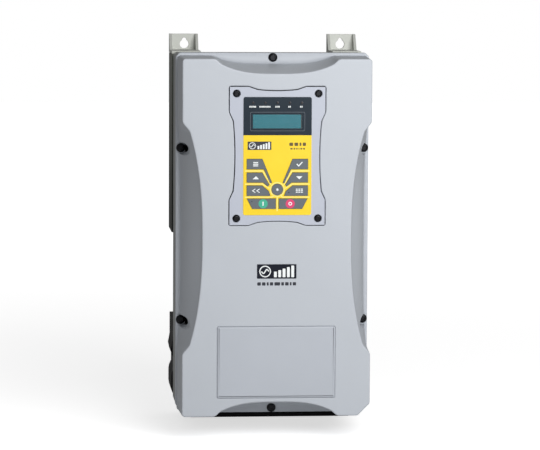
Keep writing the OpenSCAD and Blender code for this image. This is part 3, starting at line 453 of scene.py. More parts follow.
cast_metal = finish("cast_metal", *around(196, 198, 192, 0.05), rough=(0.46, 0.6),
                    patch=90, grain=900, bump=0.5, depth=0.00008, metal=0.25)
chassis_metal = finish("chassis_metal", *around(150, 153, 152, 0.06), rough=(0.45, 0.58),
                       patch=60, grain=900, bump=0.5, depth=0.00008, metal=0.3)
zinc = finish("zinc", *around(176, 180, 184, 0.06), rough=(0.26, 0.4),
              patch=400, grain=2600, bump=0.15, depth=0.00002, metal=1.0)
# Paint of the side rails, with painted shade: its colour darkens towards the bottom of the
# rails.
rail_paint_with_painted_shade = finish("rail_paint_with_painted_shade", *around(112, 116, 108, 0.08), rough=(0.45, 0.6),
                    patch=40, grain=1100, bump=0.4, depth=0.00004, specular=0.3,
                    painted_shade=(0.03, 0.19, 0.12))
extruded = finish("extruded", *around(184, 187, 190, 0.07), rough=(0.28, 0.44),
                  patch=500, grain=1500, bump=0.25, depth=0.00003, metal=1.0,
                  stretch=(1, 1, 0.03))
zinc_sheet = finish("zinc_sheet", *around(182, 187, 190, 0.08), rough=(0.28, 0.46),
                    patch=120, grain=900, bump=0.12, depth=0.00003, metal=1.0, detail=1)
# Black moulding. On the gland plate and entry plugs the black also serves as painted shade,
# standing for the shadow under the cover's bottom arch.
black_moulding_and_painted_shade = finish("black_moulding_and_painted_shade", *around(17, 16, 18, 0.12), rough=(0.42, 0.56),
                        patch=50, grain=1300, bump=0.5, depth=0.00004, specular=0.06)
fan_moulding = finish("fan_moulding", *around(28, 28, 31, 0.12), rough=(0.36, 0.5),
                      patch=60, grain=1500, bump=0.3, depth=0.00003)
rotor_moulding = finish("rotor_moulding", *around(24, 24, 27, 0.12), rough=(0.24, 0.36),
                        patch=60, grain=1500, bump=0.2, depth=0.00002)
seal_rubber = finish("seal_rubber", *around(26, 26, 28, 0.15), rough=(0.6, 0.75),
                     patch=120, grain=1800, bump=0.4, depth=0.00004)
sinter = finish("sinter", *around(150, 118, 70, 0.1), rough=(0.4, 0.55),
                patch=500, grain=3000, bump=0.4, depth=0.00003, metal=0.9)
chrome_wire = finish("chrome_wire", *around(188, 190, 194, 0.05), rough=(0.12, 0.24),
                     patch=200, grain=2000, bump=0.1, depth=0.00002, metal=1.0)
turned_brass = finish("turned_brass", *around(196, 166, 92, 0.07), rough=(0.2, 0.34),
                      patch=200, grain=2400, bump=0.15, depth=0.00002, metal=1.0)
solder_mask = finish("solder_mask", *around(26, 92, 54, 0.12), rough=(0.25, 0.4),
                     patch=160, grain=1400, bump=0.2, depth=0.00003, coat=0.3)
sleeve = finish("sleeve", *around(26, 32, 58, 0.12), rough=(0.22, 0.34),
                patch=80, grain=1500, bump=0.15, depth=0.00003, coat=0.4)
resin = finish("resin", *around(52, 52, 55, 0.1), rough=(0.45, 0.6),
               patch=90, grain=1200, bump=0.4, depth=0.00005)
terminal_green = finish("terminal_green", *around(34, 98, 60, 0.08), rough=(0.38, 0.5),
                        patch=80, grain=1500, bump=0.3, depth=0.00003)
enamel = finish("enamel", *around(140, 72, 40, 0.15), rough=(0.25, 0.4),
                patch=30, grain=700, bump=0.9, depth=0.0004, metal=0.5,
                stretch=(1, 0.2, 1), coat=0.4)
tape = finish("tape", *around(214, 178, 66, 0.08), rough=(0.22, 0.36),
              patch=60, grain=900, bump=0.2, depth=0.00004, coat=0.3)
flat_cable = finish("flat_cable", *around(158, 162, 168, 0.08), rough=(0.4, 0.5),
                    patch=60, grain=700, bump=0.8, depth=0.0003, stretch=(1.2, 0.02, 0.02))
window_clear = finish("window_clear", *around(120, 150, 156, 0.03), rough=(0.05, 0.09),
                      patch=60, grain=1500, bump=0.0)
window_clear.node_tree.nodes["Principled BSDF"].inputs["Alpha"].default_value = 0.08


# ---------- The cover ----------

def scoop(t):
    """How far the scooped wall has moved in, from 0 at the flange to 1 at the face."""
    return 1 - (1 - t ** SCOOP_POWER[0]) ** SCOOP_POWER[1]


def bite(u, half, shoulder, shoulder_bite, middle_bite, power):
    """Depth of a scallop at the face, at a distance u from its middle."""
    inner = half - shoulder
    u = abs(u)
    if u >= half:
        return 0
    if u > inner:
        return shoulder_bite * (half - u) / shoulder
    return middle_bite - (middle_bite - shoulder_bite) * (u / inner) ** power


def side_bite(z, s, foot):
    face = bite(z, WAIST_HALF, WAIST_SHOULDER, SHOULDER_BITE, WAIST_BITE, 2.5)
    base = max(0, foot * BASE_WAIST_BITE * (1 - (z / WAIST_HALF) ** 4))
    return lerp(base, face, s)


def end_bite(x, s, foot):
    face = bite(x, END_HALF, END_SHOULDER, END_SHOULDER_BITE, END_BITE, 3)
    base = max(0, foot * BASE_END_BITE * (1 - (x / END_HALF) ** 4))
    return lerp(base, face, s)


def softened(function, u, *shape, reach=2.2, samples=4):
    """A scallop's depth averaged over a short reach, which rounds its corners."""
    total = 0
    for i in range(-samples, samples + 1):
        total += function(u + reach * i / samples, *shape)
    return total / (2 * samples + 1)


def places(half, shoulder, margin, fine, coarse):
    """Places along a scallop, from one end to the other, closer together at its shoulders."""
    ends = half + margin
    inner = half - shoulder - margin
    count = math.ceil((ends - inner) / fine)
    rise = [lerp(inner, ends, i / count) for i in range(count + 1)]
    middle = math.ceil(2 * inner / coarse)
    return (
        [-u for u in reversed(rise)]
        + [lerp(-inner, inner, i / middle) for i in range(1, middle)]
        + rise
    )


SIDE_PLACES = places(WAIST_HALF, WAIST_SHOULDER, 3, 0.9, 4)
END_PLACES = places(END_HALF, END_SHOULDER, 3, 0.9, 3)
CORNER_R = 3.4


def cover_outline(t, wall=0.0, foot=1.0):
    """Outline of the raised cover at depth t, anticlockwise from the lower right chamfer.

    The scallops at the flange are as deep as the share that foot gives.
    """
    half_w = lerp(BASE_HALF[0], FACE_HALF[0], t) - wall
    half_h = lerp(BASE_HALF[1], FACE_HALF[1], t) - wall
    s = scoop(t)
    low_cut = (half_w - CORNER_CHAMFER, -half_h)
    high_cut = (half_w, CORNER_CHAMFER - half_h)
    side = [(half_w - softened(side_bite, z, s, foot), z) for z in SIDE_PLACES]
    end = [(x, half_h - softened(end_bite, x, s, foot)) for x in END_PLACES]
    right_top = fillet((half_w, 0), (half_w, half_h), (0, half_h), CORNER_R)
    return (
        fillet((0, -half_h), low_cut, high_cut, 3, 4)
        + fillet(low_cut, high_cut, (half_w, 0), 3, 4)
        + side
        + right_top
        + list(reversed(end))
        + mirrored(right_top)
        + [(-x, z) for x, z in reversed(side)]
        + fillet((-half_w, 0), (-half_w, -half_h), (0, -half_h), CORNER_R)
        + [(x, -z) for x, z in end]
    )


def cut_rectangle(half_w, half_h, upper, lower, r):
    """A rectangle with chamfered corners, each rounded a little, anticlockwise."""
    return rounded([
        (half_w, lower - half_h), (half_w, half_h - upper),
        (half_w - upper, half_h), (upper - half_w, half_h),
        (-half_w, half_h - upper), (-half_w, lower - half_h),
        (lower - half_w, -half_h), (half_w - lower, -half_h)
    ], r, 4)


def dip(u, axis):
    """Depth of the dip in one edge of the bezel: axis 0 is the top, and 1 is a side."""
    inner = BEZEL_DIP_HALF[axis] - BEZEL_DIP_SLOPE
    u = abs(u)
    if u >= BEZEL_DIP_HALF[axis]:
        return 0
    if u > inner:
        return BEZEL_SHOULDER_DIP[axis] * (BEZEL_DIP_HALF[axis] - u) / BEZEL_DIP_SLOPE
    depth = BEZEL_DIP[axis] - BEZEL_SHOULDER_DIP[axis]
    return BEZEL_DIP[axis] - depth * (u / inner) ** 2


def bezel_outline(grow, corner):
    """Outline of the keypad bezel, grown by a distance, anticlockwise."""
    half_w, half_h = BEZEL_HALF[0] + grow, BEZEL_HALF[1] + grow
    upright = places(BEZEL_DIP_HALF[1], BEZEL_DIP_SLOPE, 3, 1.2, 4)
    across = places(BEZEL_DIP_HALF[0], BEZEL_DIP_SLOPE, 3, 1.2, 4)
    side = [(half_w - softened(dip, z, 1), z) for z in upright]
    end = [(x, half_h - softened(dip, x, 0)) for x in across]
    top = fillet((half_w, 0), (half_w, half_h), (0, half_h), corner)
    low = [(x, -z) for x, z in reversed(top)]
    return shifted(
        low + side + top + list(reversed(end)) + mirrored(top)
        + [(-x, z) for x, z in reversed(side)] + mirrored(low)
        + [(x, -z) for x, z in end],
        0, KEYPAD_Z
    )


COVER_SCREWS = [(x, z) for x in (-95.9, 95.9) for z in (90, -90)] + [(0, 184), (0, -184)]
KEYPAD_SCREWS = [(x, KEYPAD_Z + z) for x in (-42, 42) for z in (64, -64)]
POCKET_R = (5.9, 8.6)


def rounded_rings(shell, outline, y_edge, y_flat, radius, inward, steps=6, margin=0.9):
    """Rings that round an edge, from the wall at y_edge to the flat at y_flat."""
    rings = []
    for i in range(steps + 1):
        a = math.radians(90 * i / steps)
        rings.append(shell.loop(
            offset_loop(outline, inward * radius * (1 - math.cos(a))),
            lerp(y_edge, y_flat, math.sin(a))
        ))
    rings.append(shell.loop(offset_loop(outline, inward * (radius + margin)), y_flat))
    return rings


def stitch(shell, rings):
    for low, high in zip(rings, rings[1:]):
        shell.band(low, high)


def make_cover():
    shell = Shell()
    edge_r, foot_r, foot_rise, lip_r, lip_drop = 1.4, 0.5, 3.6, 0.85, 1.5
    depth = FACE_Y - FLANGE_Y

    # Outside: flange, the foot of the raised wall, the wall, and the rounded face edge
    flange = cut_rectangle(*FLANGE_HALF, 4, 9, 2.5)
    opening = cut_rectangle(BASE_HALF[0] - 8, BASE_HALF[1] - 13, 3, 3, 1)
    back_edge = shell.loop(flange, FLANGE_BACK_Y)
    flange_rings = [back_edge] + rounded_rings(
        shell, flange, FLANGE_Y + lip_drop, FLANGE_Y, lip_r, 1, 4, 0.15)
    stitch(shell, flange_rings)
    foot = []
    for i in range(9):
        a = math.radians(90 * i / 8)
        foot.append(shell.loop(
            offset_loop(cover_outline(0, foot=math.sin(a)), -foot_r * (1 - math.sin(a))),
            FLANGE_Y - foot_rise * (1 - math.cos(a))))
    shell.fill(flange_rings[-1], foot[0])
    wall_levels = [i / 12 for i in range(1, 12)]
    wall = [shell.loop(cover_outline(t), FLANGE_Y + depth * t) for t in wall_levels]
    face_outline = cover_outline(1)
    top = rounded_rings(shell, face_outline, FACE_Y + edge_r, FACE_Y, edge_r, 1)
    stitch(shell, foot + wall + top)

    # Recesses for the keypad and the blank panel
    recess = bezel_outline(RECESS_GAP, 2.4)
    lip = rounded_rings(shell, recess, FACE_Y + 0.5, FACE_Y, 0.5, -1, 3)
    lip.insert(0, shell.loop(recess, RECESS_Y))
    stitch(shell, lip)
    window = rectangle(0, KEYPAD_Z, *CASE_HALF, 1)
    window_front = shell.loop(window, RECESS_Y)
    window_back = shell.loop(window, FACE_Y + COVER_WALL)
    shell.fill(lip[0], window_front)
    shell.band(window_front, window_back)
    panel = rectangle(*PANEL_AT, PANEL_SIZE[0] / 2, PANEL_SIZE[1] / 2, 1.6)
    panel_lip = rounded_rings(shell, panel, FACE_Y + 0.3, FACE_Y, 0.3, -1, 3)
    panel_lip.insert(0, shell.loop(panel, FACE_Y + PANEL_RECESS))
    stitch(shell, panel_lip)
    shell.fill(panel_lip[0])
    shell.fill(top[-1], lip[-1], panel_lip[-1])

    # Inside: the walls, the back of the face, and the rim against the gasket
    inner_levels = [0, 0.2, 0.4, 0.6, 0.8, 1]
    inner = [
        shell.loop(cover_outline(t, COVER_WALL), lerp(FLANGE_Y, FACE_Y + COVER_WALL, t))
        for t in inner_levels
    ]
    stitch(shell, inner)
    shell.fill(inner[-1], window_back)
    rim_back = shell.loop(opening, FLANGE_BACK_Y)
    rim_front = shell.loop(opening, FLANGE_Y)
    shell.fill(back_edge, rim_back)
    shell.band(rim_back, rim_front)
    shell.fill(inner[0], rim_front)

    # Bosses behind the face for the keypad screws
    for x, z in KEYPAD_SCREWS:
        boss_front = shell.loop(circle(x, z, 5, 24), FACE_Y + COVER_WALL + 0.02)
        boss_back = shell.loop(circle(x, z, 4.7, 24), FACE_Y + 14)
        shell.band(boss_front, boss_back)
        shell.fill(boss_front)
        shell.fill(boss_back)
    return piece("cover_shell", shell.mesh("cover_shell", 35), cover_paint,
                 slot="cover_plastic", replaces=("front_cover",))


def cut_pockets(cover):
    """Cuts the pockets round the side screws out of the raised walls."""
    shell = Shell()
    for x, z in COVER_SCREWS[:4]:
        front = shell.loop(circle(x, z, POCKET_R[1], 48), FACE_Y - 5)
        back = shell.loop(circle(x, z, POCKET_R[0], 48), FLANGE_Y - 0.02)
        shell.band(back, front)
        shell.fill(front)
        shell.fill(back)
    cutter = bpy.data.objects.new("pocket_cutter", shell.mesh("pocket_cutter"))
    bpy.context.scene.collection.objects.link(cutter)
    cut = cover.modifiers.new("pockets", "BOOLEAN")
    cut.operation = "DIFFERENCE"
    cut.solver = "EXACT"
    cut.object = cutter
    seen = bpy.context.evaluated_depsgraph_get()
    made = bpy.data.meshes.new_from_object(cover.evaluated_get(seen))
    cover.modifiers.remove(cut)
    cover.data = made
    bpy.data.objects.remove(cutter)
    for polygon in made.polygons:
        polygon.use_smooth = True
    made.set_sharp_from_angle(angle=math.radians(35))


cover_shell = make_cover()
cut_pockets(cover_shell)

plate("blank_panel",
      [rectangle(*PANEL_AT, PANEL_SIZE[0] / 2 - PANEL_GAP, PANEL_SIZE[1] / 2 - PANEL_GAP, 1.4)],
      FACE_Y - PANEL_PROUD, FACE_Y + PANEL_RECESS, 0.75, panel_paint, reach=1.6,
      slot="panel_plastic", replaces=("label_panel",))


# ---------- Badge on the face ----------

BADGE_AT = (0, -33.7)
BADGE_HALF = (20.3, 7.4)
BADGE_Y = FACE_Y - 0.4


def generic_mark(cx, cz, half_w, half_h):
    """A plain mark, a wave in a ring and a row of rising bars, which stands for no company."""
    ring_x = cx - half_w + half_h
    outlines = [[circle(ring_x, cz, half_h, 32), circle(ring_x, cz, half_h * 0.82, 32)]]
    reach = half_h * 0.62
    wave = [
        (ring_x + reach * i / 8, cz + half_h * 0.34 * math.sin(math.pi * i / 8))
        for i in range(-8, 9)
    ]
    outlines.append(stroke(wave, half_h * 0.2))
    bars = 5
    left = ring_x + half_h * 1.5
    pitch = (cx + half_w - left) / (bars - 0.3)
    for i in range(bars):
        height = half_h * (0.35 + 0.65 * (i + 1) / bars)
        outlines.append(rectangle(left + (i + 0.35) * pitch, cz - half_h + height,
                                  pitch * 0.33, height, half_h * 0.08, 2))
    return outlines


plate("front_badge_plate", [rectangle(*BADGE_AT, *BADGE_HALF, 0.6)], BADGE_Y, FACE_Y, 0.12,
      badge_film, slot="badge_black", replaces=("front_badge",))
prints("front_badge_mark", generic_mark(*BADGE_AT, 18, 6), BADGE_Y, print_white)


def word_bars(cx, cz, width, height, lengths, gap):
    """A row of short bars that stands in for a printed line."""
    total = sum(lengths) + gap * (len(lengths) - 1)
    unit = width / total
    x = cx - width / 2
    outlines = []
    for length in lengths:
        outlines.append(rectangle(x + length * unit / 2, cz, length * unit / 2, height / 2,
                                  height * 0.18, 3))
        x += (length + gap) * unit
    return outlines


prints("front_caption_bars",
       word_bars(0, -46.6, 40, 3.4, (1.6, 1.6, 0.9, 1.5, 2.6, 1.2, 1.6, 0.8, 1.5), 0.55),
       FACE_Y, print_navy)


# ---------- Keypad ----------

def on_keypad(points):
    return shifted(points, 0, KEYPAD_Z)


KEY_H = 10.3
KEY_OUT, KEY_IN = 31.3, 15.6
KEY_TOPS = (-3, -16.9, -30.2, -43.6)
MENU = [(-KEY_OUT, -3), (-KEY_IN, -3), (-5.7, -27), (-7.3, -27.6), (-13.9, -13.3),
        (-KEY_OUT, -13.3)]
UP = [(-KEY_OUT, -16.9), (-KEY_IN, -16.9), (-8.3, -29.4), (-9.7, -30.8), (-14.8, -26.9),
      (-KEY_OUT, -26.9)]
SHIFT = [(-KEY_OUT, -30.2), (-KEY_IN, -30.2), (-8.8, -36), (-7.3, -40.5), (-KEY_OUT, -40.5)]
RUN = [(-30.9, -43.6), (-1.6, -43.6), (-1.6, -53.9), (-25.6, -53.9)]
CENTER_KEY = (0, -34.2)
CENTER_KEY_R = 5.8
KEY_GAP = 0.3
DISPLAY_SPLIT = 21.4
DISPLAY_AT = (0, 35.5)
WINDOW_HALF = (27.6, 9.3)
LIGHTS_X = (-25, -12.5, 0, 12.5, 25)
LIGHTS_Z = 54.5

KEY_OUTLINES = {
    "menu_key": MENU, "enter_key": mirrored(MENU), "up_key": UP, "down_key": mirrored(UP),
    "shift_key": SHIFT, "function_key": mirrored(SHIFT), "run_key": RUN,
    "stop_key": mirrored(RUN)
}


def grown(points, distance):
    return offset_loop(anticlockwise(points), -distance)


def make_overlay():
    """The printed film: a dark field round the display above, and yellow below."""
    shell = Shell()
    w, h = OVERLAY_HALF
    r = 2
    low = arc(-w + r, -h + r, r, 180, 270, 5) + arc(w - r, -h + r, r, 270, 360, 5)
    yellow = low + [(w, DISPLAY_SPLIT), (-w, DISPLAY_SPLIT)]
    dark = [(-w, DISPLAY_SPLIT), (w, DISPLAY_SPLIT)] + arc(w - r, h - r, r, 0, 90, 5) \
        + arc(-w + r, h - r, r, 90, 180, 5)
    holes = [grown(o, KEY_GAP) for o in KEY_OUTLINES.values()]
    holes.append(circle(*CENTER_KEY, CENTER_KEY_R + KEY_GAP))
    openings = [rectangle(*DISPLAY_AT, WINDOW_HALF[0] - 0.1, WINDOW_HALF[1] - 0.1, 0.8, 3)]
    openings += [circle(x, LIGHTS_Z, 1.3, 20) for x in LIGHTS_X]
    for material, outline, cuts in ((0, yellow, holes), (1, dark, openings)):
        loops = [anticlockwise(on_keypad(loop)) for loop in [outline] + cuts]
        front = [shell.loop(loop, OVERLAY_Y) for loop in loops]
        back = [shell.loop(loop, BEZEL_Y) for loop in loops]
        for a, b in zip(back, front):
            shell.band(a, b, material=material)
        shell.fill(*front, material=material)
        shell.fill(*back, material=material)
    return piece("printed_overlay", shell.mesh("printed_overlay"), [film_yellow, film_dark],
                 slot="overlay_yellow", replaces=("keypad_overlay",))


make_overlay()


def make_separators():
    """The pale lines between the rows of keys, and the ring round the middle key."""
    width = 1.3
    lines = [
        stroke([(-33.2, -15.1), (-15, -15.1), (-6.6, -29.2)], width),
        stroke([(-33.2, -28.6), (-15.4, -28.6), (-8, -33)], width),
        stroke([(-33.2, -42.05), (-5.9, -42.05), (-3.6, -41.2)], width)
    ]
    lines += [mirrored(line) for line in lines]
    lines.append(stroke([(0, -42), (0, -56.5)], width))
    lines = [on_keypad(line) for line in lines]
    ring = [on_keypad(circle(*CENTER_KEY, 7.7, 56)), on_keypad(circle(*CENTER_KEY, 6.3, 56))]
    prints("overlay_separators", lines + [ring], OVERLAY_Y, film_pale)


make_separators()

label_widths = (6.9, 11.3, 4.4, 2.5, 2.5)
label_places = (-25.7, -13.1, -0.2, 12.1, 24.2)
label_bars = []
for x, width in zip(label_places, label_widths):
    count = max(2, round(width / 1.25))
    label_bars += word_bars(x, KEYPAD_Z + 50.6, width, 1.7, (1,) * count, 0.4)
prints("indicator_labels", label_bars, OVERLAY_Y, print_white)


def make_lenses():
    """Small smoked lenses over the light pipes."""
    shell = Shell()
    for x in LIGHTS_X:
        plate_into(shell, [circle(x, KEYPAD_Z + LIGHTS_Z, 1.28, 24)],
                   OVERLAY_Y - 0.35, OVERLAY_Y - 0.01, 0.25)
    piece("indicator_lenses", shell.mesh("indicator_lenses"), lamp_lens)


make_lenses()

prints("display_outline", [[on_keypad(rectangle(*DISPLAY_AT, 28.1, 9.8, 1.2, 3)),
                            on_keypad(rectangle(*DISPLAY_AT, 27.7, 9.4, 0.9, 3))]],
       OVERLAY_Y, film_line)
prints("overlay_badge", [on_keypad(rectangle(-18.5, 10.7, 12.2, 4.3, 0.4, 3))], OVERLAY_Y,
       print_navy)
prints("overlay_badge_mark", generic_mark(-18.5, KEYPAD_Z + 10.7, 10.8, 3.5),
       OVERLAY_Y - PRINT_T, print_white)
prints("overlay_caption",
       word_bars(20.7, KEYPAD_Z + 12.2, 17, 3.4, (1.4, 1.4, 0.7, 1.2), 0.5)
       + word_bars(20.7, KEYPAD_Z + 7.6, 15, 1.6, (1, 0.8, 0.6, 0.4, 0.8, 0.8), 0.45),
       OVERLAY_Y, print_brown)


def make_display():
    """The display behind its window: a frame, the pale glass, and faint character cells."""
    x, z = DISPLAY_AT[0], KEYPAD_Z + DISPLAY_AT[1]
    back = FACE_Y + 0.1
    # The glass sits 1 mm left of the middle, so a band of the dark frame shows at its right:
    # painted shade of the window's edge.
    lcd = (-1.0, z, 24.9, 7.1)
    prints("display_border", [[rectangle(x, z, 27.4, 9.1, 0.8, 3),
                               rectangle(x, z, 25.3, 7.4, 0.5, 3)]],
           BEZEL_Y - 0.2, film_dark)
    plate("display_frame", [rectangle(x, z, 25.6, 7.3, 0.5, 3)], back - 0.05, back + 0.1, 0.04,
          lcd_edge, slot="display_glass")
    plate("display_panel", [rectangle(*lcd, 0.4, 3)], back - 0.15, back - 0.05, 0.04,
          lcd_back, slot="display_glass")
    columns, rows = 16, 2
    cell_w, cell_h = 2.5, 5.2
    pitch_x, pitch_z = 2.95, 6.2
    cells = [
        rectangle(lcd[0] + (c - (columns - 1) / 2) * pitch_x, z + (r - (rows - 1) / 2) * pitch_z,
                  cell_w / 2, cell_h / 2)
        for c in range(columns) for r in range(rows)
    ]
    prints("display_cells", cells, back - 0.15, lcd_cell, 0.02)


make_display()


def star(cx, cz, outer, inner, points=6):
    return [
        (cx + (outer if i % 2 == 0 else inner) * math.sin(math.pi * i / points),
         cz + (outer if i % 2 == 0 else inner) * math.cos(math.pi * i / points))
        for i in range(2 * points)
    ]


def chevron(cx, cz, half_w, half_h, width):
    ends = [(cx + half_w, cz + half_h), (cx + half_w, cz - half_h)]
    return stroke([ends[0], (cx - half_w, cz), ends[1]], width)


def key_icons():
    """The marks on the keys, each on its own key's body."""
    def icon(key, outlines, material=print_white, y=KEY_TOP_Y, name="icon"):
        prints(f"{key}_{name}", [
            [on_keypad(loop) for loop in o] if isinstance(o[0], list) else on_keypad(o)
            for o in outlines
        ], y, material, body=key)

    row = [top - KEY_H / 2 for top in KEY_TOPS]
    icon("menu_key", [rectangle(-22.4, row[0] + d, 2.6, 0.5, 0.3, 3) for d in (-1.7, 0, 1.7)])
    tick = [(19.8, row[0] + 0.2), (21.8, row[0] - 1.8), (25.6, row[0] + 2.2)]
    icon("enter_key", [stroke(tick, 1.1)])
    icon("up_key", [[(-25.3, row[1] - 1.5), (-18.9, row[1] - 1.5), (-22.1, row[1] + 1.7)]])
    icon("down_key", [[(19.3, row[1] + 1.5), (22.5, row[1] - 1.7), (25.7, row[1] + 1.5)]])
    icon("shift_key", [chevron(x, row[2], 1.5, 1.9, 0.75) for x in (-24.1, -19.7)])
    icon("function_key", [
        rectangle(22.6 + dx, row[2] + dz, 1.0, 0.45)
        for dx in (-2.6, 0, 2.6) for dz in (-1.6, 0, 1.6)
    ])
    icon("center_key", [star(*CENTER_KEY, 1.9, 0.8)])
    run_at, stop_at = (-14.6, row[3]), (13.3, row[3])
    icon("run_key", [circle(*run_at, 4.7)], disc_green, name="disc")
    icon("run_key", [rectangle(*run_at, 0.6, 2.1, 0.2, 2)], y=KEY_TOP_Y - PRINT_T)
    icon("stop_key", [circle(*stop_at, 4.7)], disc_red, name="disc")
    icon("stop_key", [[circle(*stop_at, 1.9), circle(*stop_at, 1.0)]], y=KEY_TOP_Y - PRINT_T)
    icon("function_key", [circle(11.8, -37.3, 0.6, 16)], print_navy, name="lamp")
    icon("run_key", [circle(-26.1, -46.4, 0.6, 16)], print_navy, name="lamp")


key_icons()


# ---------- Fans and guards ----------

FAN_X = 32
fan_low, fan_high = box_mm("left_fan_frame")
FAN_Y = (fan_low.y + fan_high.y) / 2
FAN_Z = fan_low.z
GUARD_Z = box_mm("fan_guards")[0].z + 0.8
BLADES = 7
HUB_R = 14
BLADE_R = 27.3


def tube(name, path, radius, material, closed=False, **ride):
    """A round wire along a path of points."""
    curve = bpy.data.curves.new(name, "CURVE")
    curve.dimensions = "3D"
    curve.bevel_depth = radius * MM
    curve.bevel_resolution = 3
    for points in path:
        spline = curve.splines.new("POLY")
        spline.points.add(len(points) - 1)
        for p, co in zip(spline.points, points):
            p.co = (co[0] * MM, co[1] * MM, co[2] * MM, 1)
        spline.use_cyclic_u = closed if isinstance(closed, bool) else closed(points)
        spline.use_smooth = True
    holder = bpy.data.objects.new(name + "_curve", curve)
    bpy.context.scene.collection.objects.link(holder)
    seen = bpy.context.evaluated_depsgraph_get()
    mesh = bpy.data.meshes.new_from_object(holder.evaluated_get(seen))
    mesh.name = name
    bpy.data.objects.remove(holder)
    return piece(name, mesh, material, **ride)


def make_guard(name, x):
    wire = 0.75
    rings = [
        [(x + r * math.cos(a), FAN_Y + r * math.sin(a), GUARD_Z)
         for a in [math.radians(i * 7.5) for i in range(48)]]
        for r in (6, 13, 20, 27)
    ]
    spokes = []
    for quarter in range(4):
        a = math.radians(45 + 90 * quarter)
        direction = (math.cos(a), math.sin(a))
        spokes.append([
            (x + direction[0] * r, FAN_Y + direction[1] * r, GUARD_Z) for r in (5.2, 18, 32.4)
        ])
    return tube(name, rings + spokes, wire, chrome_wire,
                closed=lambda points: len(points) > 8, slot="guard_wire",
                replaces=("fan_guards",))


make_guard("left_fan_guard", -FAN_X)
make_guard("right_fan_guard", FAN_X)


def make_rotor(name, x, body, node):
    """A fan rotor with a domed hub and swept, twisted blades."""
    shell = Shell()
    bm = shell.bm
    steps = 48
    profile = [(0, 2), (HUB_R - 3, 2)] + [
        (HUB_R - 3 + 3 * math.sin(math.radians(a)), 5 - 3 * math.cos(math.radians(a)))
        for a in (15, 30, 45, 60, 75, 90)
    ] + [(HUB_R, 21), (HUB_R - 1.5, 21), (HUB_R - 1.5, 6), (0, 6)]
    rings = []
    for r, z in profile[1:-1]:
        rings.append([
            bm.verts.new(((x + r * math.cos(2 * math.pi * i / steps)) * MM,
                          (FAN_Y + r * math.sin(2 * math.pi * i / steps)) * MM,
                          (FAN_Z + z) * MM))
            for i in range(steps)
        ])
    for low, high in zip(rings, rings[1:]):
        shell.band(low, high)
    for ring, z in ((rings[0], profile[0][1]), (rings[-1], profile[-1][1])):
        centre = bm.verts.new((x * MM, FAN_Y * MM, (FAN_Z + z) * MM))
        for i in range(steps):
            bm.faces.new((ring[i], ring[(i + 1) % steps], centre)).smooth = True
    spans, chords = 8, 8
    for blade in range(BLADES):
        start = 2 * math.pi * blade / BLADES
        grid = {}
        for side in (0, 1):
            for i in range(spans + 1):
                u = i / spans
                r = lerp(HUB_R - 0.8, BLADE_R, u)
                height = lerp(15.5, 17.0, u) * (1 - 0.12 * u ** 4)
                sweep = 0.30 * u ** 1.5
                wrap = lerp(1.0, 0.78, u)
                for j in range(chords + 1):
                    v = j / chords
                    angle = start + sweep + (v - 0.5) * wrap + 0.1 * math.sin(math.pi * v)
                    thick = lerp(1.5, 0.9, u) * (0.25 + math.sin(math.pi * min(0.98, 0.04 + v)))
                    z = 4.2 + (17 - height) / 2 + v * height + (side - 0.5) * thick * 0.9
                    grid[side, i, j] = bm.verts.new((
                        (x + r * math.cos(angle)) * MM, (FAN_Y + r * math.sin(angle)) * MM,
                        (FAN_Z + z) * MM))
        for side in (0, 1):
            for i in range(spans):
                for j in range(chords):
                    bm.faces.new((grid[side, i, j], grid[side, i + 1, j],
                                  grid[side, i + 1, j + 1], grid[side, i, j + 1])).smooth = True
        edge = (
            [(i, 0) for i in range(spans)] + [(spans, j) for j in range(chords)]
            + [(i, chords) for i in range(spans, 0, -1)] + [(0, j) for j in range(chords, 0, -1)]
        )
        for k in range(len(edge)):
            a, b = edge[k], edge[(k + 1) % len(edge)]
            ends = (grid[(0,) + a], grid[(0,) + b], grid[(1,) + b], grid[(1,) + a])
            bm.faces.new(ends).smooth = True
    piece(name, shell.mesh(name), rotor_moulding, body=body, slot="rotor_plastic",
          replaces=(node,))


make_rotor("left_impeller", -FAN_X, "left_fan", "left_fan_rotor")
make_rotor("right_impeller", FAN_X, "right_fan", "right_fan_rotor")


# ---------- Finishes and rounded edges for the CAD nodes ----------

def dress(node, material, width=0.4, segments=2, angle=38):
    """Gives a CAD node its finish and rounds its sharp edges. Without a width it stays flat."""
    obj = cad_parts[node]
    mesh = obj.data
    if "custom_normal" in mesh.attributes:
        mesh.attributes.remove(mesh.attributes["custom_normal"])
    for polygon in mesh.polygons:
        polygon.use_smooth = width > 0
    mesh.materials.clear()
    mesh.materials.append(material)
    weld = obj.modifiers.new("weld", "WELD")
    weld.merge_threshold = 1e-6
    if width:
        bevel = obj.modifiers.new("rounded_edges", "BEVEL")
        bevel.width = width * MM
        bevel.segments = segments
        bevel.limit_method = "ANGLE"
        bevel.angle_limit = math.radians(angle)
        bevel.harden_normals = True


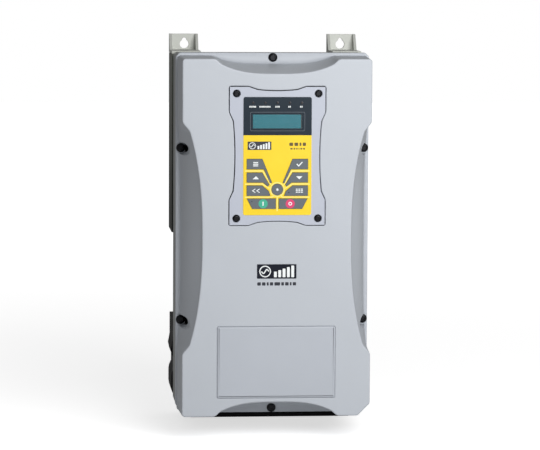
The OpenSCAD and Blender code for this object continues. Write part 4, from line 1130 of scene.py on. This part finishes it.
FINISHES = {
    "cover_gasket": (seal_rubber, 0.2), "cover_screws": (black_oxide, 0.25),
    "chassis": (chassis_metal, 0.8),
    "left_top_bracket": (cast_metal, 0.7), "right_top_bracket": (cast_metal, 0.7),
    "bracket_bolts": (zinc, 0.25),
    "left_side_rail": (rail_paint_with_painted_shade, 0), "right_side_rail": (rail_paint_with_painted_shade, 0),
    "rail_screws": (zinc, 0.2),
    "heatsink": (extruded, 0.25), "heatsink_screws": (zinc, 0.2),
    "duct_plate": (zinc_sheet, 0), "duct_plate_screws": (zinc, 0.1),
    "fan_tray": (black_moulding_and_painted_shade, 0.6),
    "left_fan_frame": (fan_moulding, 0.4), "right_fan_frame": (fan_moulding, 0.4),
    "fan_bushes": (sinter, 0.15), "fan_screws": (zinc, 0.2),
    # Gland plate and entry plugs: black as painted shade, filling the shadow under the cover's
    # bottom arch.
    "gland_plate": (black_moulding_and_painted_shade, 0.5), "gland_plate_screws": (zinc, 0.2),
    "entry_plugs": (black_moulding_and_painted_shade, 0.4), "entry_plug_seals": (seal_rubber, 0.15),
    "earth_stud": (turned_brass, 0.2), "power_board": (solder_mask, 0.15),
    "board_standoffs": (turned_brass, 0.2), "board_screws": (zinc, 0.15),
    "dc_link_capacitors": (sleeve, 0.3), "rectifier_module": (resin, 0.4),
    "inverter_module": (resin, 0.4), "power_terminal_block": (terminal_green, 0.4),
    "power_terminal_screws": (zinc, 0.2), "emc_choke": (enamel, 0.4),
    "supply_transformer": (tape, 0.4), "control_board": (solder_mask, 0.15),
    "control_terminal_block": (terminal_green, 0.3), "ribbon_cable": (flat_cable, 0.2),
    "keypad_bezel": (bezel_paint, 0.35), "keypad_gasket": (seal_rubber, 0.1),
    "keypad_screws": (black_oxide, 0.2), "display_window": (window_clear, 0.1),
    "display_module": (lcd_edge, 0.2), "keypad_board": (solder_mask, 0.1),
    "keypad_back_cover": (black_moulding_and_painted_shade, 0.3),
    "menu_key": (key_rubber, 0.3), "enter_key": (key_rubber, 0.3),
    "up_key": (key_rubber, 0.3), "down_key": (key_rubber, 0.3),
    "shift_key": (key_rubber, 0.3), "function_key": (key_rubber, 0.3),
    "center_key": (key_rubber, 0.3), "run_key": (key_rubber, 0.3),
    "stop_key": (key_rubber, 0.3)
}
for node_name, (node_finish, node_edge) in FINISHES.items():
    dress(node_name, node_finish, node_edge)


# ---------- Floor, light and camera ----------

FLOOR_Z = cad_low.z - 0.0005
AIM = Vector((-7.2, FACE_Y, 14.2)) * MM
CAMERA_DISTANCE = 2.8
CAMERA_AZIMUTH = -5.1
CAMERA_ELEVATION = 5.33
CAMERA_LENS = 182
CAMERA_ROLL = 0.28


def direction_to(azimuth, elevation):
    """Unit vector from the object towards a viewer. Azimuth 0 is in front, positive is right."""
    a, e = math.radians(azimuth), math.radians(elevation)
    return Vector((math.sin(a) * math.cos(e), -math.cos(a) * math.cos(e), math.sin(e)))


def make_camera():
    data = bpy.data.cameras.new("camera")
    data.lens = CAMERA_LENS
    data.clip_end = 60
    camera = bpy.data.objects.new("camera", data)
    bpy.context.scene.collection.objects.link(camera)
    towards = direction_to(CAMERA_AZIMUTH, CAMERA_ELEVATION)
    camera.location = AIM + towards * CAMERA_DISTANCE
    turn = (-towards).to_track_quat("-Z", "Y").to_matrix().to_4x4()
    camera.rotation_euler = turn.to_euler()
    camera.rotation_euler.rotate_axis("Z", math.radians(CAMERA_ROLL))
    bpy.context.scene.camera = camera


def area_light(name, azimuth, elevation, distance, size, power):
    data = bpy.data.lights.new(name, "AREA")
    data.shape = "DISK"
    data.size = size
    data.energy = power
    light = bpy.data.objects.new(name, data)
    bpy.context.scene.collection.objects.link(light)
    towards = direction_to(azimuth, elevation)
    light.location = Vector((0, FACE_Y * MM, 0)) + towards * distance
    light.rotation_euler = (-towards).to_track_quat("-Z", "Y").to_euler()


def make_floor():
    """A pale floor, a little brighter to the camera than the light it sends back."""
    bpy.ops.mesh.primitive_plane_add(size=14, location=(0, 0, FLOOR_Z))
    floor = bpy.context.object
    floor.name = "floor"
    material = bpy.data.materials.new("pale_floor")
    material.use_nodes = True
    nodes, links = material.node_tree.nodes, material.node_tree.links
    shader = nodes["Principled BSDF"]
    shader.inputs["Base Color"].default_value = (0.82, 0.82, 0.82, 1)
    shader.inputs["Roughness"].default_value = 0.7
    shader.inputs["Emission Color"].default_value = (1, 1, 1, 1)
    path = nodes.new("ShaderNodeLightPath")
    place = nodes.new("ShaderNodeTexCoord")
    away = nodes.new("ShaderNodeVectorMath")
    away.operation = "LENGTH"
    links.new(place.outputs["Object"], away.inputs[0])
    glow = nodes.new("ShaderNodeMapRange")
    glow.inputs["From Min"].default_value = 0.3
    glow.inputs["From Max"].default_value = 2.2
    glow.inputs["To Min"].default_value = 0.66
    glow.inputs["To Max"].default_value = 0.9
    links.new(away.outputs["Value"], glow.inputs["Value"])
    lift = nodes.new("ShaderNodeMath")
    lift.operation = "MULTIPLY"
    links.new(path.outputs["Is Camera Ray"], lift.inputs[0])
    links.new(glow.outputs["Result"], lift.inputs[1])
    links.new(lift.outputs["Value"], shader.inputs["Emission Strength"])
    floor.data.materials.append(material)


def make_world(fill):
    """An even pale studio: white to the camera, and a softer fill on the object."""
    world = bpy.data.worlds.new("studio")
    world.use_nodes = True
    bpy.context.scene.world = world
    nodes, links = world.node_tree.nodes, world.node_tree.links
    background = nodes["Background"]
    background.inputs["Color"].default_value = (1, 1, 1, 1)
    path = nodes.new("ShaderNodeLightPath")
    level = nodes.new("ShaderNodeMapRange")
    level.inputs["To Min"].default_value = fill
    level.inputs["To Max"].default_value = 1.0
    links.new(path.outputs["Is Camera Ray"], level.inputs["Value"])
    links.new(level.outputs["Result"], background.inputs["Strength"])


make_camera()
area_light("key_light", 19, 25, 1.1, 0.8, 10.6)
make_floor()
make_world(0.25)
bpy.context.scene.view_settings.view_transform = "Standard"


# ---------- Sizes, and the end ----------

def corners(low, high):
    return [[round(v, 6) for v in low], [round(v, 6) for v in high]]
